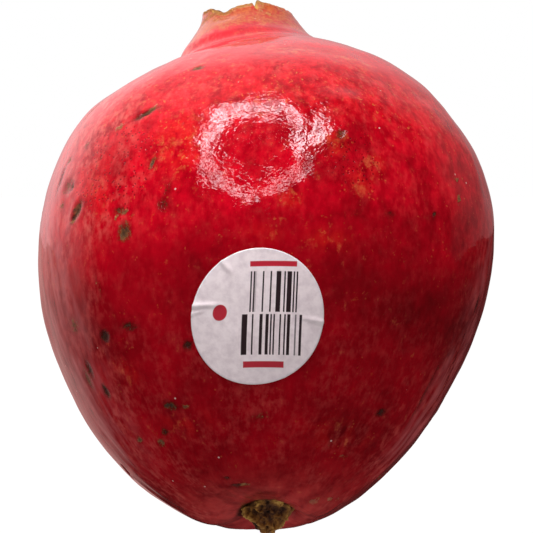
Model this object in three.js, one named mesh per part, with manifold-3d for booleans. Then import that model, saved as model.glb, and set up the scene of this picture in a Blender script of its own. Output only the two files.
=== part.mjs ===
// A whole pomegranate at its real size, in millimetres.
//
// The rind is one grown body: a globe with six slightly flat sides, which narrows to the stem end
// below and carries an open calyx crown on top. The dried stamens stand in the crown's cup, a torn
// woody stem stub stands in the dimple at the stem end, and a paper label follows the rind.
//
// The fruit frame has its origin in the middle of the widest girth, with +Z towards the crown and
// -Y to the front. In the object frame the fruit leans back and stands on a small flat spot, whose
// middle is the origin.

import * as THREE from 'three';
import { mergeVertices } from 'three/addons/utils/BufferGeometryUtils.js';
import Module from 'manifold-3d';

// ---- driving dimensions ----

// Stance
const LEAN = THREE.MathUtils.degToRad(20); // of the crown, to the back
const GIRTH_HEIGHT = 58.1; // middle of the girth above the surface that the fruit stands on
const GIRTH_OFFSET = { x: 0.4, y: 1.4 }; // middle of the girth from the middle of the flat spot

// The rind's outline from the stem dimple over the girth and the crown's rim to the floor of the
// crown's cup, as [radius, height, shift to the right, lift of the right side].
const RIND_STATIONS = [
  [0, -53.0, 0, 0], // middle of the stem dimple
  [4.8, -53.6, -0.3, 0],
  [8.6, -56.6, -1.0, 0.2],
  [12.6, -57.7, -1.7, 0.3], // low ring round the dimple
  [19.2, -54.5, -2.2, 0.1],
  [28.2, -46.6, -2.0, 0],
  [37.6, -34.0, -1.7, 0],
  [45.0, -18.0, -0.9, 0],
  [48.0, -1.0, -0.2, 0], // girth
  [46.1, 14.0, 0.2, 0.3],
  [40.0, 26.0, -0.3, 1.2],
  [31.2, 34.0, 0, 1.7], // shoulder
  [24.2, 38.3, -0.6, 1.9],
  [18.2, 41.0, -2.0, 1.6], // foot of the crown
  [14.8, 43.8, -2.9, 1.0],
  [12.9, 47.0, -3.3, 0.4],
  [11.4, 50.0, -3.7, 0],
  [10.2, 52.2, -3.9, 0],
  [9.2, 53.3, -4.0, 0], // outer edge of the rim
  [7.7, 53.2, -4.0, 0], // inner edge of the rim
  [7.2, 51.0, -4.0, 0],
  [7.1, 45.5, -4.0, 0],
  [6.2, 41.8, -4.0, 0], // foot of the cup's wall
  [3.4, 40.8, -4.0, 0],
  [0, 41.2, -4.0, 0], // middle of the cup's floor
];
const GIRTH_RADIUS = 48;
const RIND_ROW_STEP = 3.2; // longest step along the outline
const RIND_COLUMNS = 64;

// Heights of the clipped calyx lobes over the mean rim, every 30 degrees from the front round by
// the right. They fade out towards the foot of the crown.
const RIM_LOBES = [-0.5, 0.1, 0, 0.2, -1.2, -0.5, 0.2, -1.4, -0.3, 0.9, 0.1, -1.8];
const LOBE_FOOT = 46;
const LOBE_TOP = 53.3;

// Six slightly flat sides, with low ridges between them.
const SIDES = 6;
const RIDGE_RISE = 0.4;
const RIDGE_TURN = THREE.MathUtils.degToRad(15);
const RIDGE_FOOT = 24; // radius where the ridges begin

// The rear of the stem end is fuller, which puts the fruit's weight over its flat spot.
const REAR_FULLNESS = 3.5;
const REAR_RADIUS = 27;
const REAR_SPREAD = 9;

// Stem stub, as [radius, height] from its root in the dimple to its torn tip.
const STUB_STATIONS = [
  [0, -53.4],
  [4.2, -53.9],
  [5.1, -55.2],
  [4.9, -57.0],
  [4.1, -58.9],
  [2.6, -60.3],
  [1.1, -59.9],
  [0, -59.4],
];
const STUB_ROWS = 21;
const STUB_COLUMNS = 30;
const STUB_RIBS = 0.09; // share of the radius
const STUB_TEETH = 0.45; // on the torn tip

// Stamens, on a thin pad that follows the floor of the cup. The pad is [radius, height] from the
// middle of its underside to the middle of its top.
const CUP_SHIFT = -4.0; // of the cup's axis, to the left
const PAD_STATIONS = [
  [0, 41.5],
  [3.4, 41.1],
  [5.4, 41.7],
  [5.6, 42.3],
  [3.4, 42.0],
  [0, 42.4],
];
const PAD_ROWS = 10;
const PAD_COLUMNS = 24;
const STAMEN_RINGS = [
  { count: 6, radius: 1.8, lean: 0.6 }, // lean is how far the tips stand outside the roots
  { count: 11, radius: 3.4, lean: 0.4 },
  { count: 15, radius: 4.9, lean: -0.5 },
];
const STAMEN_ROOT = 41.9;
const STAMEN_LENGTH = { shortest: 3.4, longest: 4.8 };
const STAMEN_THICKNESS = 0.7;
const STAMEN_SCATTER = 0.5;
const STAMEN_SIDES = 5;
const STAMEN_ROWS = 5;
const ANTHER_THICKNESS = 1.1;

// Label: a thin sheet over the rind, at an angle round the fruit and a height.
const LABEL_ANGLE = THREE.MathUtils.degToRad(-1.8);
const LABEL_HEIGHT = -27.2;
const LABEL_HALF_WIDTH = 13.3;
const LABEL_HALF_HEIGHT = 12.3;
const LABEL_GAP = 0.3;
const LABEL_THICKNESS = 0.6;
const LABEL_RINGS = 6;
const LABEL_COLUMNS = 36;

// ---- materials ----

const rindRed = new THREE.MeshStandardMaterial({ color: '#a80f1f', roughness: 0.32, metalness: 0 });
const woodBrown = new THREE.MeshStandardMaterial({ color: '#54401f', roughness: 0.9, metalness: 0 });
const stamenTan = new THREE.MeshStandardMaterial({ color: '#b08a4a', roughness: 0.85, metalness: 0 });
const labelWhite = new THREE.MeshStandardMaterial({ color: '#e6dcdf', roughness: 0.45, metalness: 0 });

// ---- helpers ----

const { smoothstep } = THREE.MathUtils;

// Random numbers from 0 to 1, the same on each run (a linear congruential generator).
function seededRandom(seed) {
  let state = seed;
  return () => {
    state = (state * 1664525 + 1013904223) % 4294967296;
    return state / 4294967296;
  };
}

// The angle of a column, as a share of the full turn.
function turn(column, columns) {
  return (2 * Math.PI * column) / columns;
}

// A point at a radius round the fruit's axis. Angle 0 is the front, and a quarter turn is the right.
function roundAxis(radius, angle, height) {
  return new THREE.Vector3(radius * Math.sin(angle), -radius * Math.cos(angle), height);
}

// A smooth curve through stations, by two of their numbers.
function curveThrough(stations, first = 0, second = 1) {
  return new THREE.SplineCurve(stations.map((station) => new THREE.Vector2(station[first], station[second])));
}

// A closed body on a grid of points. Rows run from one pole to the other, and columns go round
// with +Z rows seen anticlockwise, which makes the faces point out.
function closedBody(rows, columns, pointAt) {
  const points = [pointAt(0, 0)];
  for (let row = 1; row < rows; row += 1) {
    for (let column = 0; column < columns; column += 1) {
      points.push(pointAt(row, column));
    }
  }
  points.push(pointAt(rows, 0));
  const indexOf = (row, column) => {
    if (row === 0) return 0;
    if (row === rows) return points.length - 1;
    return 1 + (row - 1) * columns + (column % columns);
  };
  const triangles = [];
  for (let row = 0; row < rows; row += 1) {
    for (let column = 0; column < columns; column += 1) {
      const here = indexOf(row, column);
      const beside = indexOf(row, column + 1);
      const aheadBeside = indexOf(row + 1, column + 1);
      const ahead = indexOf(row + 1, column);
      if (row > 0) triangles.push(here, beside, aheadBeside);
      if (row < rows - 1) triangles.push(here, aheadBeside, ahead);
    }
  }
  const geometry = new THREE.BufferGeometry().setFromPoints(points);
  geometry.setIndex(triangles);
  return geometry;
}

function namedMesh(name, geometry, material) {
  const mesh = new THREE.Mesh(geometry, material);
  mesh.name = name;
  return mesh;
}

// The fruit frame as it leans in the object frame.
const fruitFrame = new THREE.Group();
fruitFrame.rotation.x = -LEAN;
fruitFrame.position.set(GIRTH_OFFSET.x, GIRTH_OFFSET.y, GIRTH_HEIGHT);
fruitFrame.updateMatrix();

// ---- rind ----

const rindOutline = curveThrough(RIND_STATIONS);
const rindDrift = curveThrough(RIND_STATIONS, 2, 3);

// Height of the rim over its mean at an angle, eased from one entry of RIM_LOBES to the next.
function rimLobe(angle) {
  const count = RIM_LOBES.length;
  const place = THREE.MathUtils.euclideanModulo((angle * count) / (2 * Math.PI), count);
  const before = Math.floor(place) % count;
  const after = (before + 1) % count;
  return THREE.MathUtils.lerp(RIM_LOBES[before], RIM_LOBES[after], smoothstep(place - before, 0, 1));
}

// A point of the rind in the fruit frame, at a share of the outline and an angle.
function rindPoint(share, angle) {
  const { x: radius, y: height } = rindOutline.getPoint(share);
  const { x: shift, y: lift } = rindDrift.getPoint(share);
  const ridge = RIDGE_RISE * Math.cos(SIDES * (angle - RIDGE_TURN)) * smoothstep(radius, RIDGE_FOOT, GIRTH_RADIUS);
  const point = roundAxis(radius + ridge, angle, height);
  point.x += shift;
  point.z += lift * Math.sin(angle) + rimLobe(angle) * smoothstep(height, LOBE_FOOT, LOBE_TOP);
  if (height < 0) {
    const rear = Math.max(0, -Math.cos(angle)) ** 1.5;
    point.z -= REAR_FULLNESS * rear * Math.exp(-(((radius - REAR_RADIUS) / REAR_SPREAD) ** 2));
  }
  return point;
}

// Shares of the outline for the rows: each stretch between stations is cut into equal steps.
function rindShares() {
  const shares = [0];
  for (let index = 1; index < RIND_STATIONS.length; index += 1) {
    const [radius, height] = RIND_STATIONS[index];
    const [lastRadius, lastHeight] = RIND_STATIONS[index - 1];
    const steps = Math.ceil(Math.hypot(radius - lastRadius, height - lastHeight) / RIND_ROW_STEP);
    for (let step = 1; step <= steps; step += 1) {
      shares.push((index - 1 + step / steps) / (RIND_STATIONS.length - 1));
    }
  }
  return shares;
}

// The rind leans in the object frame, and is flat where it would reach below the surface there.
function makeFruit() {
  const shares = rindShares();
  const geometry = closedBody(shares.length - 1, RIND_COLUMNS, (row, column) => {
    const point = rindPoint(shares[row], turn(column, RIND_COLUMNS));
    point.applyMatrix4(fruitFrame.matrix);
    point.z = Math.max(0, point.z);
    return point;
  });
  return namedMesh('fruit', geometry, rindRed);
}

// ---- stem stub ----

function makeStemStub() {
  const profile = curveThrough(STUB_STATIONS);
  const geometry = closedBody(STUB_ROWS, STUB_COLUMNS, (row, column) => {
    const share = row / STUB_ROWS;
    const angle = -turn(column, STUB_COLUMNS);
    const { x: radius, y: height } = profile.getPoint(share);
    const ribs = 0.6 * Math.sin(5 * angle + 1.3) + 0.4 * Math.sin(9 * angle + height);
    const teeth = 0.6 * Math.sin(3 * angle + 0.5) + 0.4 * Math.sin(7 * angle);
    const torn = smoothstep(share, 0.5, 0.8) * Math.min(1, radius);
    return roundAxis(radius * (1 + STUB_RIBS * ribs), angle, height + STUB_TEETH * teeth * torn);
  });
  return namedMesh('stem_stub', geometry, woodBrown);
}

// ---- stamens ----

const solids = await Module();
solids.setup();

function toSolid(geometry) {
  const merged = mergeVertices(geometry);
  return new solids.Manifold(new solids.Mesh({
    numProp: 3,
    vertProperties: Float32Array.from(merged.attributes.position.array),
    triVerts: Uint32Array.from(merged.index.array),
  }));
}

function fromSolid(solid) {
  const { vertProperties, triVerts } = solid.getMesh();
  const geometry = new THREE.BufferGeometry();
  geometry.setAttribute('position', new THREE.BufferAttribute(vertProperties, 3));
  geometry.setIndex(new THREE.BufferAttribute(triVerts, 1));
  return geometry;
}

function stamenPad() {
  const profile = curveThrough(PAD_STATIONS);
  return closedBody(PAD_ROWS, PAD_COLUMNS, (row, column) => {
    const { x: radius, y: height } = profile.getPoint(row / PAD_ROWS);
    return roundAxis(radius, turn(column, PAD_COLUMNS), height);
  });
}

// One stamen: a bent filament from root to tip, and a thicker anther on it.
function stamen(root, tip, bend) {
  const middle = root.clone().lerp(tip, 0.5).add(bend);
  const path = new THREE.QuadraticBezierCurve3(root, middle, tip);
  return closedBody(STAMEN_ROWS, STAMEN_SIDES, (row, column) => {
    const point = path.getPoint(row / STAMEN_ROWS);
    if (row === 0 || row === STAMEN_ROWS) return point;
    const thickness = row === STAMEN_ROWS - 1 ? ANTHER_THICKNESS : STAMEN_THICKNESS;
    return point.add(roundAxis(thickness / 2, turn(column, STAMEN_SIDES), 0));
  });
}

function makeStamens() {
  const random = seededRandom(7);
  const scatter = () => STAMEN_SCATTER * (2 * random() - 1);
  let tuft = toSolid(stamenPad());
  for (const { count, radius, lean } of STAMEN_RINGS) {
    for (let index = 0; index < count; index += 1) {
      const angle = turn(index + random() / 2, count);
      const length = THREE.MathUtils.lerp(STAMEN_LENGTH.shortest, STAMEN_LENGTH.longest, random());
      const root = roundAxis(radius, angle, STAMEN_ROOT);
      const tip = roundAxis(radius + lean + scatter(), angle + scatter() / radius, STAMEN_ROOT + length);
      const bend = roundAxis(scatter(), angle, 0);
      tuft = tuft.add(toSolid(stamen(root, tip, bend)));
    }
  }
  const mesh = namedMesh('stamens', fromSolid(tuft), stamenTan);
  mesh.position.x = CUP_SHIFT;
  return mesh;
}

// ---- label ----

// The share of the outline at a height between the stem end and the shoulder, by halving.
function shareAtHeight(height) {
  let low = 4 / (RIND_STATIONS.length - 1);
  let high = 11 / (RIND_STATIONS.length - 1);
  for (let step = 0; step < 30; step += 1) {
    const middle = (low + high) / 2;
    if (rindOutline.getPoint(middle).y < height) low = middle;
    else high = middle;
  }
  return (low + high) / 2;
}

// A point at a distance outside the rind, along its normal there.
function overRind(share, angle, distance) {
  const step = 0.002;
  const point = rindPoint(share, angle);
  const across = rindPoint(share, angle + step).sub(rindPoint(share, angle - step));
  const along = rindPoint(share + step, angle).sub(rindPoint(share - step, angle));
  return point.addScaledVector(across.cross(along).normalize(), distance);
}

// Rows run from the middle of the label's face out to its edge and back under it to the middle.
function makeLabel() {
  const rows = 2 * LABEL_RINGS + 1;
  const geometry = closedBody(rows, LABEL_COLUMNS, (row, column) => {
    const onFace = row <= LABEL_RINGS;
    const spread = (onFace ? row : rows - row) / LABEL_RINGS;
    const clock = turn(column, LABEL_COLUMNS);
    const height = LABEL_HEIGHT + LABEL_HALF_HEIGHT * spread * Math.cos(clock);
    const share = shareAtHeight(height);
    const angle = LABEL_ANGLE + (LABEL_HALF_WIDTH * spread * Math.sin(clock)) / rindOutline.getPoint(share).x;
    return overRind(share, angle, LABEL_GAP + (onFace ? LABEL_THICKNESS : 0));
  });
  return namedMesh('label', geometry, labelWhite);
}

// ---- the fruit ----

fruitFrame.add(makeStemStub(), makeStamens(), makeLabel());

const pomegranate = new THREE.Group();
pomegranate.add(makeFruit(), fruitFrame);

export default pomegranate;
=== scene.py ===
# %% [markdown]
# # A pomegranate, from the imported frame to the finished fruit
#
# The fruit stands on a small flat spot and leans back, with its open crown on top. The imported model
# fixes every place and size. Here each of its plain solids gets a fine surface that stands for it:
# the rind with its pores and scars, the torn stem stub, the dried stamens and the paper label.
# Lengths are written in millimetres and become metres when a mesh is made.

# %% Load the frame
import math

import bpy
import numpy as np
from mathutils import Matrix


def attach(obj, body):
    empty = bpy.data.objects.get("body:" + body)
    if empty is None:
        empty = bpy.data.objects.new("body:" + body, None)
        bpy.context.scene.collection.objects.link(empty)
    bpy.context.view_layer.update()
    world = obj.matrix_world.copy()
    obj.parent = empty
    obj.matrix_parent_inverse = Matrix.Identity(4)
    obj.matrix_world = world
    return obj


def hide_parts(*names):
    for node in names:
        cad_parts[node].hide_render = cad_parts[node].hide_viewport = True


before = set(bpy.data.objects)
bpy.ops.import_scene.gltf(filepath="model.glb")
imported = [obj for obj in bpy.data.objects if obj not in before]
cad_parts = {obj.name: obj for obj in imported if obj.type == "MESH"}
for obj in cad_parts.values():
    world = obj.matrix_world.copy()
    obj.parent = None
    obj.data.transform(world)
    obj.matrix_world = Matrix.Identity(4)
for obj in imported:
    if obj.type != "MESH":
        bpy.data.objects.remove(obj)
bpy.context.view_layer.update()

MM = 0.001
print("nodes:", sorted(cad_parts))

# %% [markdown]
# ## Tools for surfaces
#
# Every piece is a closed grid: rows of points that run from one pole to the other, with the columns
# going round. The whole grid is worked out as one array. `spline` gives the outlines their smooth
# run, and `lattice_noise` gives the unevenness that a grown or torn thing has. Sculpting by hand
# could do the same, but a formula keeps its sizes and can be changed later.

# %% Eases, outlines and noise
def ease(low, high, value):
    """Goes smoothly from 0 at low to 1 at high: 3t² - 2t³, with t the share of the way."""
    share = np.clip((value - low) / (high - low), 0, 1)
    return share * share * (3 - 2 * share)


def spline(stations, shares):
    """A Catmull-Rom curve through the stations, with the same share of its length between each two.

    Between stations b and c, with neighbours a and d, the slopes are (c - a)/2 and (d - b)/2, and a
    cubic joins b to c with those slopes."""
    stations = np.asarray(stations, float)
    last = len(stations) - 1
    place = np.asarray(shares, float) * last
    first = np.minimum(place.astype(int), last - 1)
    t = (place - first)[..., None]
    b, c = stations[first], stations[first + 1]
    a = stations[np.maximum(first - 1, 0)]
    d = stations[np.minimum(first + 2, last)]
    rise, fall = (c - a) / 2, (d - b) / 2
    cubed = (2 * b - 2 * c + rise + fall) * t**3
    squared = (3 * c - 3 * b - 2 * rise - fall) * t**2
    return cubed + squared + rise * t + b


LATTICE = 64  # the random heights repeat after this many cells


def lattice_noise(points, cell, seed):
    """Random heights from -1 to 1 on the corners of cubes of one size, eased from corner to corner."""
    heights = np.random.default_rng(seed).uniform(-1, 1, (LATTICE, LATTICE, LATTICE))
    place = points / cell
    corner = np.floor(place).astype(int)
    part = place - corner
    part = part * part * (3 - 2 * part)
    total = np.zeros(points.shape[:-1])
    for step in np.ndindex(2, 2, 2):
        weight = np.prod(np.where(step, part, 1 - part), axis=-1)
        x, y, z = np.moveaxis((corner + step) % LATTICE, -1, 0)
        total += weight * heights[x, y, z]
    return total


# %% Closed grids as meshes
def ring_quads(first, rings, columns):
    """Corner numbers of the quads between rings of points that are numbered on from `first`: here,
    beside, beside on the next ring, and the same place on the next ring."""
    ring = np.arange(columns)
    beside = (ring + 1) % columns
    start = first + columns * np.arange(rings - 1)[:, None]
    here, right = start + ring, start + beside
    return np.stack([here, right, right + columns, here + columns], axis=-1).reshape(-1, 4)


def closed_grid_faces(rows, columns):
    """Corner numbers of a closed grid's faces: quads between its rows and a fan of triangles at each
    pole. The first vertex is one pole, the last is the other, and the rows lie between them."""
    ring = np.arange(columns)
    beside = (ring + 1) % columns
    top = 1 + columns * (rows - 2)
    far_pole = 1 + columns * (rows - 1)
    near_fan = np.stack([0 * ring, 1 + beside, 1 + ring], axis=-1)
    far_fan = np.stack([top + ring, top + beside, 0 * ring + far_pole], axis=-1)
    return ring_quads(1, rows - 1, columns), np.concatenate([near_fan, far_fan])


def grid_vertices(grid):
    """The grid's values as one row for each vertex, with each pole's row taken once."""
    return np.concatenate([grid[:1, 0], grid[1:-1].reshape(-1, *grid.shape[2:]), grid[-1:, 0]])


def add_object(name, data):
    """A new object of the scene that shows a mesh, a light or a camera."""
    thing = bpy.data.objects.new(name, data)
    bpy.context.scene.collection.objects.link(thing)
    return thing


def make_piece(name, points, faces, attributes):
    """A smooth mesh object from points in metres, faces as arrays of corner numbers, and values for
    each vertex: numbers or vectors that its finish reads by name."""
    mesh = bpy.data.meshes.new(name)
    mesh.vertices.add(len(points))
    mesh.vertices.foreach_set("co", points.astype(np.float32).ravel())
    corners = np.concatenate([part.ravel() for part in faces])
    sizes = np.concatenate([np.full(len(part), part.shape[1]) for part in faces])
    mesh.loops.add(len(corners))
    mesh.loops.foreach_set("vertex_index", corners.astype(np.int32))
    mesh.polygons.add(len(sizes))
    mesh.polygons.foreach_set("loop_start", (np.cumsum(sizes) - sizes).astype(np.int32))
    mesh.update(calc_edges=True)
    mesh.shade_smooth()
    for label, values in attributes.items():
        kind, field = ("FLOAT", "value") if values.ndim == 1 else ("FLOAT_VECTOR", "vector")
        layer = mesh.attributes.new(label, kind, "POINT")
        layer.data.foreach_set(field, values.astype(np.float32).ravel())
    print(name, len(points), "points")
    return add_object(name, mesh)


def closed_piece(name, grid, attributes=None):
    """A piece from one closed grid of points, and grids of values for its finish."""
    faces = closed_grid_faces(len(grid) - 1, grid.shape[1])
    values = {label: grid_vertices(layer) for label, layer in (attributes or {}).items()}
    return make_piece(name, grid_vertices(grid), faces, values)


# %% [markdown]
# ## Where the fruit stands
#
# The shapes are easiest to describe round the fruit's own axis, with the middle of the girth at
# zero, the crown up and angle 0 at the front. `stand` then leans them back and lifts them to their
# place in the frame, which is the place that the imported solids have.

# %% The fruit's stance
LEAN = math.radians(20)
GIRTH_MIDDLE = np.array([0.4, 1.4, 58.1])


def round_axis(radius, angle, height):
    """Points at a radius round the fruit's axis: right is r sin(angle), front is -r cos(angle)."""
    radius, angle, height = np.broadcast_arrays(radius, angle, height)
    return np.stack([radius * np.sin(angle), -radius * np.cos(angle), height], axis=-1)


def stand(points):
    """Leans points of the fruit back about the left-right axis, and moves them to their place, in
    metres. Nothing reaches below the surface that the fruit stands on."""
    x, y, z = np.moveaxis(points, -1, 0)
    back = y * math.cos(LEAN) + z * math.sin(LEAN)
    up = z * math.cos(LEAN) - y * math.sin(LEAN)
    placed = np.stack([x, back, up], axis=-1) + GIRTH_MIDDLE
    placed[..., 2] = np.maximum(placed[..., 2], 0)
    return placed * MM


def full_turn(columns):
    """Angles of the columns, from the front round by the right."""
    return np.linspace(0, 2 * math.pi, columns, endpoint=False)


# %% [markdown]
# ## The rind
#
# The rind is one skin from the stem dimple over the girth and the crown's rim to the floor of the
# cup. A lathe would make it perfectly round, which no pomegranate is, so each station of the outline
# also says how far it lies to the right and how much higher its right side is. The rows are close
# together on the rim and further apart on the globe.

# %% The rind's outline
CUP_SHIFT = -4.0  # how far to the right the cup's middle lies, so it is left of the axis
RIND_STATIONS = [  # radius, height, shift to the right, lift of the right side
    (0, -53.0, 1.1, 0),
    (4.2, -53.8, 1.1, 0),
    (5.6, -56.5, 0.9, 0.1),
    (11.2, -57.8, -0.6, 0.3),
    (18.7, -54.5, -1.7, 0.1),
    (28.2, -46.6, -2.0, 0),
    (37.6, -34.0, -1.7, 0),
    (45.0, -18.0, -0.9, 0),
    (48.0, -1.0, -0.2, 0),
    (46.1, 14.0, -0.15, 0.3),
    (40.0, 26.0, -0.9, 1.2),
    (31.2, 34.0, -0.2, 1.7),
    (24.0, 38.3, -0.5, 1.9),
    (18.0, 41.0, -1.8, 1.6),
    (15.4, 43.9, -3.1, 0.9),
    (13.2, 46.6, -3.4, 0.4),
    (11.1, 50.0, -3.4, 0),
    (10.1, 52.2, -3.8, 0),
    (9.5, 53.3, -4.2, 0),
    (7.7, 53.2, CUP_SHIFT, 0),
    (7.2, 51.0, CUP_SHIFT, 0),
    (7.1, 45.5, CUP_SHIFT, 0),
    (6.2, 41.8, CUP_SHIFT, 0),
    (3.4, 40.8, CUP_SHIFT, 0),
    (0, 41.2, CUP_SHIFT, 0),
]
LAST_STATION = len(RIND_STATIONS) - 1
CROWN_FOOT, RIM_OUTSIDE, RIM_INSIDE = 13, 17, 20  # the stations where these begin
GLOBE_STEP, CROWN_STEP, RIM_STEP, CUP_STEP = 0.86, 0.5, 0.16, 0.6  # from row to row
RIND_COLUMNS = 352


def rind_shares():
    """Shares of the outline for the rows: each stretch between stations is cut into equal steps."""
    shares = [0.0]
    for index in range(LAST_STATION):
        step = GLOBE_STEP
        if index >= CROWN_FOOT:
            step = CROWN_STEP
        if index >= RIM_OUTSIDE:
            step = RIM_STEP
        if index >= RIM_INSIDE:
            step = CUP_STEP
        (r0, h0), (r1, h1) = RIND_STATIONS[index][:2], RIND_STATIONS[index + 1][:2]
        count = math.ceil(math.hypot(r1 - r0, h1 - h0) / step)
        shares.extend((index + (k + 1) / count) / LAST_STATION for k in range(count))
    return np.array(shares)


# %% What makes the rind uneven
# The lobes are heights of the clipped rim, from the front round by the right.
RIM_LOBES = np.array([-1.1, -0.65, -0.6, -0.2, -1.2, -0.5, 0.2, -1.4, -0.3, 0.4, -0.6, -2.5])
LOBE_FOOT, LOBE_TOP = 46, 53.3  # heights between which the lobes grow
GIRTH_RADIUS, RIDGE_FOOT, RIDGE_RISE = 48, 24, 0.4
SIDES, RIDGE_TURN = 6, math.radians(15)
REAR_FULLNESS, REAR_RADIUS, REAR_SPREAD, REAR_POWER = 3.2, 27, 9, 4
CHEEK_FULLNESS, CHEEK_RADIUS, CHEEK_SPREAD = 1.0, 11.0, 5.5
CHEEK_REACH = (35, 75, 85, 115)  # degrees from the stem's side: none, full, still full, none
STEM_SIDE, FRONT_RAISE, RAISE_REACH = -14, 1.9, (80, 5)  # degrees: none, full
FILLET_RISE, FILLET_RADIUS, FILLET_SPREAD, FILLET_FROM = 0.8, 18, 5, 30


def rim_lobe(angle):
    """Height of the rim over its mean: eased from one clipped lobe's height to the next."""
    place = (angle / (2 * math.pi) * len(RIM_LOBES)) % len(RIM_LOBES)
    before = np.floor(place).astype(int) % len(RIM_LOBES)
    after = (before + 1) % len(RIM_LOBES)
    share = ease(0, 1, place - np.floor(place))
    return RIM_LOBES[before] * (1 - share) + RIM_LOBES[after] * share


def hump(value, middle, spread):
    """A bell: 1 at the middle, and exp(-((value - middle) / spread)²) away from it."""
    return np.exp(-(((value - middle) / spread) ** 2))


def cheeks(angle):
    """How much the stem end bulges at an angle: nothing at the rear, most at both sides, and less
    than nothing at the front, a little to the left, where the stem comes out."""
    away = np.abs(np.degrees((angle + math.pi) % (2 * math.pi) - math.pi) - STEM_SIDE)
    none, full, still_full, none_again = CHEEK_REACH
    bulge = ease(none, full, away) * ease(none_again, still_full, away)
    return bulge - FRONT_RAISE * ease(*RAISE_REACH, away)


def rind_surface(shares, angle):
    """The rind at shares of its outline and angles round the fruit's axis.

    A ring has the outline's radius and height. It shifts to the right, its right side rises with
    sin(angle), six low ridges add cos(6 angle), and the rim adds its lobes. The stem end is fuller at
    the rear and has a cheek on both sides, and the foot of the neck is filled at the front, each as a
    hump over the radius."""
    radius, height, shift, lift = np.moveaxis(spline(RIND_STATIONS, shares), -1, 0)
    ridge = RIDGE_RISE * np.cos(SIDES * (angle - RIDGE_TURN)) * ease(RIDGE_FOOT, GIRTH_RADIUS, radius)
    points = round_axis(radius + ridge, angle, height + lift * np.sin(angle))
    points[..., 0] += shift
    points[..., 2] += rim_lobe(angle) * ease(LOBE_FOOT, LOBE_TOP, height)
    rearward = np.maximum(0, -np.cos(angle)) ** REAR_POWER
    rear = REAR_FULLNESS * rearward * hump(radius, REAR_RADIUS, REAR_SPREAD)
    cheek = CHEEK_FULLNESS * cheeks(angle) * hump(radius, CHEEK_RADIUS, CHEEK_SPREAD)
    fillet = FILLET_RISE * np.maximum(0, np.cos(angle)) * hump(radius, FILLET_RADIUS, FILLET_SPREAD)
    points[..., 2] += np.where(height < 0, -rear - cheek, fillet * (height > FILLET_FROM))
    return points


# %% The rind's grid
def outward(points):
    """Unit normals of a grid: along its columns crossed with along its rows."""
    across = np.roll(points, -1, axis=1) - np.roll(points, 1, axis=1)
    along = np.gradient(points, axis=0)
    normal = np.cross(across, along)
    return normal / np.maximum(np.linalg.norm(normal, axis=-1, keepdims=True), 1e-9)


rind_shares_down = rind_shares()[:, None]
rind_angles = full_turn(RIND_COLUMNS)[None, :]
rind_skin = rind_surface(rind_shares_down, rind_angles)
rind_normal = outward(rind_skin)
rind_station = rind_shares_down * LAST_STATION
print("rind grid:", rind_skin.shape)

# %% [markdown]
# ### Relief of the skin
#
# A ripe skin is glossy, so its least unevenness shows in its highlights. It swells and sinks over
# a centimetre or two and again over a few millimetres, and it has fine ribs that run from stem to
# crown. The waves are noise of three sizes. The ribs are noise of two sizes that is stretched along
# the outline, on coordinates that go with the skin (`grain`). Both nearly fade out on the neck. A
# sculpt would need its strokes again after each change of the outline, which the noise doesn't.

# %% Waves and ribs of the skin
RIB_PRESS = np.array([1, 1, 0.24])  # the grain times this: the ribs get long along the outline
WANDER = (7, 1.3, 6)  # the ribs and streaks wander by this noise: cell, reach, seed
WAVES = [(14, 0.24, 1), (6.5, 0.11, 2), (3.1, 0.05, 3)]  # cell, height, seed
RIBS = [(4.8, 0.12, 4), (2.3, 0.02, 5)]  # the same
NECK_FROM, NECK_FULL, WAVES_LOST, RIBS_LOST = 10.5, 13.5, 0.82, 0.9  # stations, shares
outline_step = np.diff(spline(RIND_STATIONS, rind_shares_down[:, 0])[:, :2], axis=0)
rind_arc = np.append(0, np.cumsum(np.hypot(*outline_step.T)))[:, None]


def grain_of(arc, angle):
    """Coordinates that go with the skin: round the axis on a circle of the girth's size, and along
    the outline by its length. Marks that follow them narrow towards both ends of the fruit."""
    turn = round_axis(GIRTH_RADIUS, angle, 0)
    along = np.broadcast_to(arc, np.broadcast(arc, angle).shape)
    turn = np.broadcast_to(turn, (*along.shape, 3)).copy()
    turn[..., 2] = along
    return turn


def skin_waves(points):
    """The sum of the noises of WAVES, each of its own cell and height."""
    return sum(height * lattice_noise(points, cell, seed) for cell, height, seed in WAVES)


rind_grain = grain_of(rind_arc, rind_angles)
rind_grain += WANDER[1] * lattice_noise(rind_skin, WANDER[0], WANDER[2])[..., None]
ribs = sum(height * lattice_noise(rind_grain * RIB_PRESS, cell, seed) for cell, height, seed in RIBS)
on_neck = ease(NECK_FROM, NECK_FULL, rind_station)
rind_relief = skin_waves(rind_skin) * (1 - WAVES_LOST * on_neck) + ribs * (1 - RIBS_LOST * on_neck)
print("relief:", rind_relief.min().round(2), "to", rind_relief.max().round(2), "mm")

# %% [markdown]
# ### Scars
#
# A pomegranate's skin carries old rubs and bites: sunken pits with a corky lip, olive or grey
# crusts, faint bruises and short slits. Each is an oval on the skin with its place, size and turn.
# The oval sinks the surface, and it leaves two numbers in the mesh for the finish: how corky and
# how dark the skin is. They fall like a cone from the middle, so the finish can cut them with noise
# and give each scar a ragged edge. The back has scars of the same kinds, strewn by a seeded draw.
# The same ovals make a few patches of the skin uneven, raise one and sink one, and one stretch at
# the front is flattened to a shallow facet.

# %% Ovals on the skin
LOWEST_STATION, OUTER_SAMPLES = 3, 1401  # from its lowest station to the rim, the skin only rises
OUTER_SHARES = np.linspace(LOWEST_STATION, RIM_OUTSIDE, OUTER_SAMPLES) / LAST_STATION
OUTER_HEIGHTS = spline(RIND_STATIONS, OUTER_SHARES)[:, 1]
SMALL_STEP = 1e-4  # for directions on the skin: in radians, and as a share of the outline


def unit(vector):
    """Vectors divided by their own length."""
    return vector / np.linalg.norm(vector, axis=-1, keepdims=True)


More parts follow.
